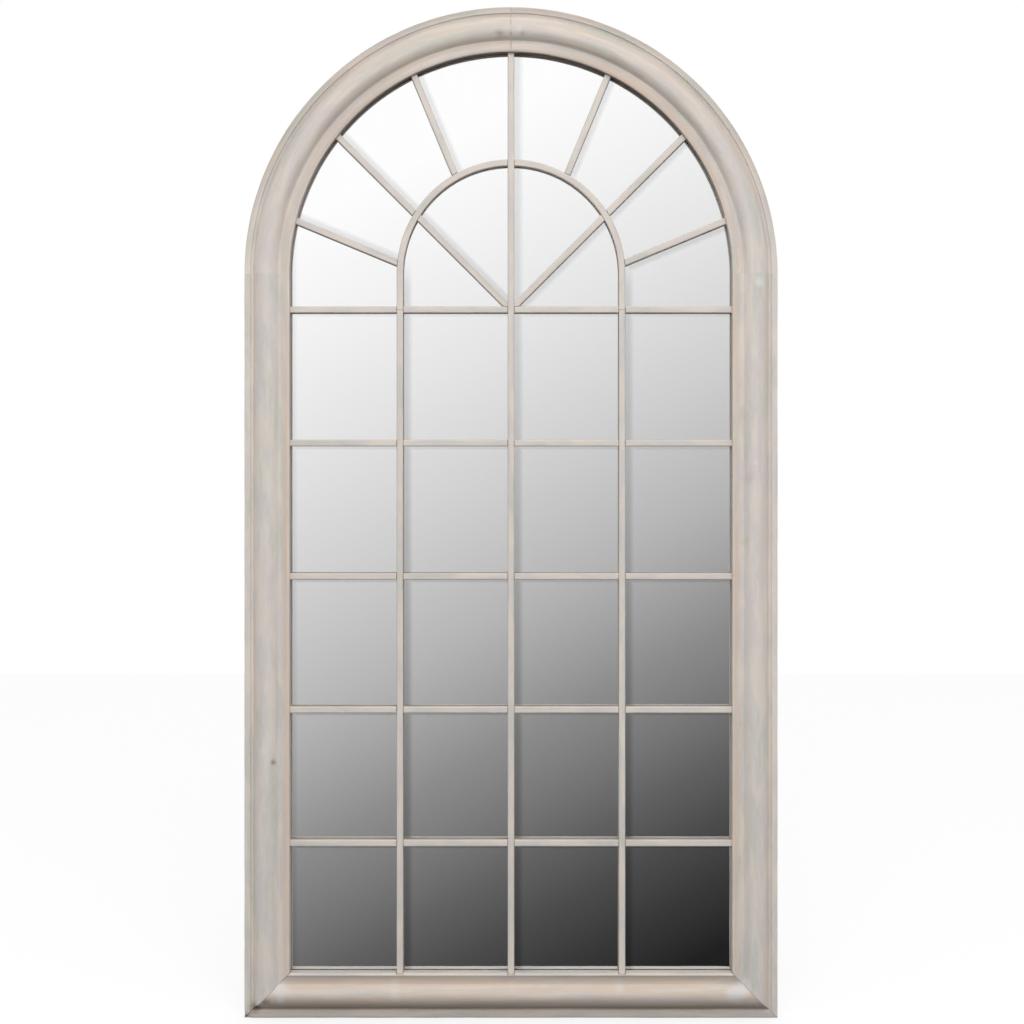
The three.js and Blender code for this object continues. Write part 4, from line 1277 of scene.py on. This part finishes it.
# %% Arched sheets
def arched_sheet(name, inset, back, front, arris):
    """An arched sheet that keeps this distance from the frame's outer edge."""
    radius = ARCH_RADIUS - inset
    bpy.ops.object.select_all(action="DESELECT")
    bpy.ops.mesh.primitive_circle_add(vertices=256, radius=radius, fill_type="NGON",
                                      location=(0, -back, 0), rotation=(math.radians(90), 0, 0))
    piece = settle(bpy.context.object)
    piece.name = name
    edit(piece)
    bpy.ops.mesh.select_all(action="SELECT")
    bpy.ops.mesh.bisect(plane_co=(0, 0, 0), plane_no=(0, 0, -1), clear_outer=True)
    bpy.ops.mesh.select_mode(type="EDGE")
    pick(piece, "edges", lambda edge: all(abs(v.co.z) < 1e-5 for v in edge.verts))
    run_on((0, 0, BOTTOM + inset), 12)
    bpy.ops.mesh.select_mode(type="FACE")
    bpy.ops.mesh.select_all(action="SELECT")
    run_on((0, back - front, 0))
    close_edit()
    edit(piece, "EDGE")
    pick(piece, "edges", lambda edge: len(edge.link_faces) == 2 and edge.calc_face_angle() > 1
         and abs(edge.verts[0].co.y - edge.verts[1].co.y) < 1e-6)
    bpy.ops.mesh.bevel(offset=arris, segments=2, affect="EDGES", clamp_overlap=True)
    close_edit()
    return piece


SILVER_FILM = 0.05 * MM
glass_inset = GLASS_EDGE_AT + 1.5 * MM
glass_sheet = arched_sheet("mirror_glass_sheet", glass_inset, GLASS_BACK + 2 * SILVER_FILM,
                           GLASS_FRONT, 0.5 * MM)
silver_coat = arched_sheet("mirror_silver_coat", glass_inset + 0.6 * MM, GLASS_BACK,
                           GLASS_BACK + SILVER_FILM, 0.01 * MM)
hand_over(glass_sheet, "mirror_glass", clear_glass, smooth=10)
hand_over(silver_coat, "mirror_glass", silver, smooth=10)

board = arched_sheet("pressed_back_board", BOARD_EDGE_AT + MM, 0, BOARD_FRONT, 0.3 * MM)
cut_away(board, screw_holes(board_screws))
hand_over(board, "back_board", fibreboard, smooth=10)

# %% [markdown]
# ## Screws, hangers and bumpers
# What holds the mirror together and to the wall is at the back. A screw is a turned piece: a
# half section spun once round, with a cross recess cut in its pan head. One is made, and
# eighteen are copies.

# %% Turned pieces
def turned(name, outline, steps=32):
    """A half section of (radius, height) points, spun round the Y axis."""
    bpy.ops.object.select_all(action="DESELECT")
    bpy.ops.mesh.primitive_circle_add(vertices=len(outline), radius=MM, fill_type="NOTHING")
    piece = bpy.context.object
    piece.name = name
    for vertex, (radius, height) in zip(piece.data.vertices, outline):
        vertex.co = (radius * MM, height * MM, 0)
    edit(piece)
    bpy.ops.mesh.select_mode(type="EDGE")
    bpy.ops.mesh.select_all(action="SELECT")
    spin_on(360, (0, 0, 0), (0, 1, 0), steps)
    bpy.ops.mesh.select_all(action="SELECT")
    bpy.ops.mesh.remove_doubles(threshold=0.01 * MM)
    bpy.ops.mesh.delete_loose()
    close_edit()
    return piece


thread = [(r, -1.5 - 0.55 * i) for i, r in enumerate([1.6, 1.15] * 8)]
pan_head = [(0, 2.4), (1.2, 2.33), (2.2, 1.95), (3.0, 1.35), (3.4, 0.75), (3.5, 0.3),
            (3.4, 0.0), (1.6, 0.0)]
first_screw = turned("pan_head_screw_01", pan_head + thread + [(0.9, -11.6), (0, -14)])
arm, slot_half, recess = 1.75 * MM, 0.42 * MM, 1.0 * MM
for x, z in ((arm, slot_half), (slot_half, arm)):
    cut_away(first_screw, [add_block("cutter", (-x, recess, -z), (x, 3 * MM, z))])
print("screw:", len(first_screw.data.polygons), "faces")

# %% Place the screws
BOARD_SEAT = FIT
STRAP_SEAT = 2 * FIT + 1.2 * MM
screw_jobs = [(f"board_screw_{i + 1:02d}", x, BOARD_SEAT, z)
              for i, (x, z) in enumerate(board_screws)]
for (x, z), end in zip(strap_screws, ("lower", "upper") * 2):
    hand = "left" if x < 0 else "right"
    screw_jobs.append((f"hanger_screw_{hand}_{end}", x, STRAP_SEAT, z))
screws = [first_screw] + [copy_of(first_screw, f"pan_head_screw_{i:02d}")
                          for i in range(2, len(screw_jobs) + 1)]
for piece, (node, x, seat, z) in zip(screws, screw_jobs):
    only(piece)
    quarter = noise.noise(Vector((x, z, 3.3)) * 40) * math.pi
    bpy.ops.transform.rotate(value=quarter, orient_axis="Y", center_override=(0, 0, 0))
    turn_and_move(piece, 0, (x, seat, z))
    hand_over(piece, node, zinc)

# %% [markdown]
# The strap of a hanger is flat steel whose top is curled into an eye. The D-ring is wire bent
# through that eye, and it swings there, so each ring rides on its own body.

# %% Straps and rings
EYE_PIVOT = Vector((0, 3.15 * MM, -18 * MM))


def hanger_strap(name):
    piece = add_block(name, (-6 * MM, FIT, -64 * MM), (6 * MM, FIT + 1.2 * MM, -18 * MM))
    edit(piece)
    pick(piece, "faces", lambda face: face.normal.z > 0.9)
    spin_on(-285, EYE_PIVOT, (1, 0, 0), 24)
    close_edit()
    edit(piece, "EDGE")
    pick(piece, "edges", lambda edge: all(v.co.z < -63.9 * MM for v in edge.verts)
         and abs(edge.verts[0].co.x - edge.verts[1].co.x) < 1e-6)
    bpy.ops.mesh.bevel(offset=3 * MM, segments=6, affect="EDGES")
    close_edit()
    cut_away(piece, [add_rod("cutter", SCREW_HOLE, (0, -2 * MM, z), (0, 4 * MM, z))
                     for z in (-57 * MM, -43 * MM)])
    arris = piece.modifiers.new("arris", "BEVEL")
    arris.width = 0.15 * MM
    arris.segments = 2
    arris.limit_method = "ANGLE"
    arris.angle_limit = math.radians(50)
    only(piece)
    bpy.ops.object.modifier_apply(modifier=arris.name)
    return piece


def d_ring(name):
    """Wire that starts in the middle of the eye and is bent round to meet itself."""
    half, corner, drop = 10.5 * MM, 4 * MM, 7.5 * MM
    _, py, pz = EYE_PIVOT
    bpy.ops.object.select_all(action="DESELECT")
    bpy.ops.mesh.primitive_circle_add(vertices=16, radius=1.4 * MM, fill_type="NGON",
                                      location=(FIT / 2, py, pz),
                                      rotation=(0, math.radians(90), 0))
    piece = settle(bpy.context.object)
    piece.name = name
    edit(piece)
    bpy.ops.mesh.select_all(action="SELECT")
    run_on((half - corner - FIT / 2, 0, 0), 2)
    spin_on(90, (half - corner, py, pz - corner), (0, 1, 0), 8)
    run_on((0, 0, corner - drop))
    spin_on(180, (0, py, pz - drop), (0, 1, 0), 28)
    run_on((0, 0, drop - corner))
    spin_on(90, (corner - half, py, pz - corner), (0, 1, 0), 8)
    run_on((half - corner - FIT / 2, 0, 0), 2)
    close_edit()
    return piece


left_strap, left_ring = hanger_strap("strap_left"), d_ring("d_ring_left")
right_strap, right_ring = copy_of(left_strap, "strap_right"), copy_of(left_ring, "d_ring_right")
for hand, side, strap, ring in (("left", -1, left_strap, left_ring),
                                ("right", 1, right_strap, right_ring)):
    for piece in (strap, ring):
        turn_and_move(piece, 0, (side * HANGER_SIDE, 0, 0))
    hand_over(strap, f"hanger_strap_{hand}", zinc)
    hand_over(ring, f"hanger_ring_{hand}", zinc, body=f"ring_{hand}")

# %% Bumpers
foot_pad = turned("bumper_pad_left", [
    (0, 5.2), (1.8, 5.2), (2.3, 5.6), (2.9, 6.0), (4.5, 6.0), (5.3, 5.8), (5.8, 5.3), (6.0, 4.5),
    (6.0, 0.3), (5.7, 0), (0, 0)], 48)
for hand, side in (("right", 1), ("left", -1)):
    piece = foot_pad if hand == "left" else copy_of(foot_pad, "bumper_pad_right")
    turn_and_move(piece, 0, (side * 310 * MM, FIT, BOTTOM + BOARD_EDGE_AT / 2))
    hand_over(piece, f"bumper_{hand}", rubber)

# %% [markdown]
# ## Dowels
# The dowels are glued inside the joints, where nobody sees them, and their solids already
# have the right shape, so they stay as they are and only get their wood.

# %% Dowel wood, sizes and finish
for name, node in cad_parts.items():
    if name.startswith("dowel_"):
        node.data.materials.clear()
        node.data.materials.append(dowel_wood)
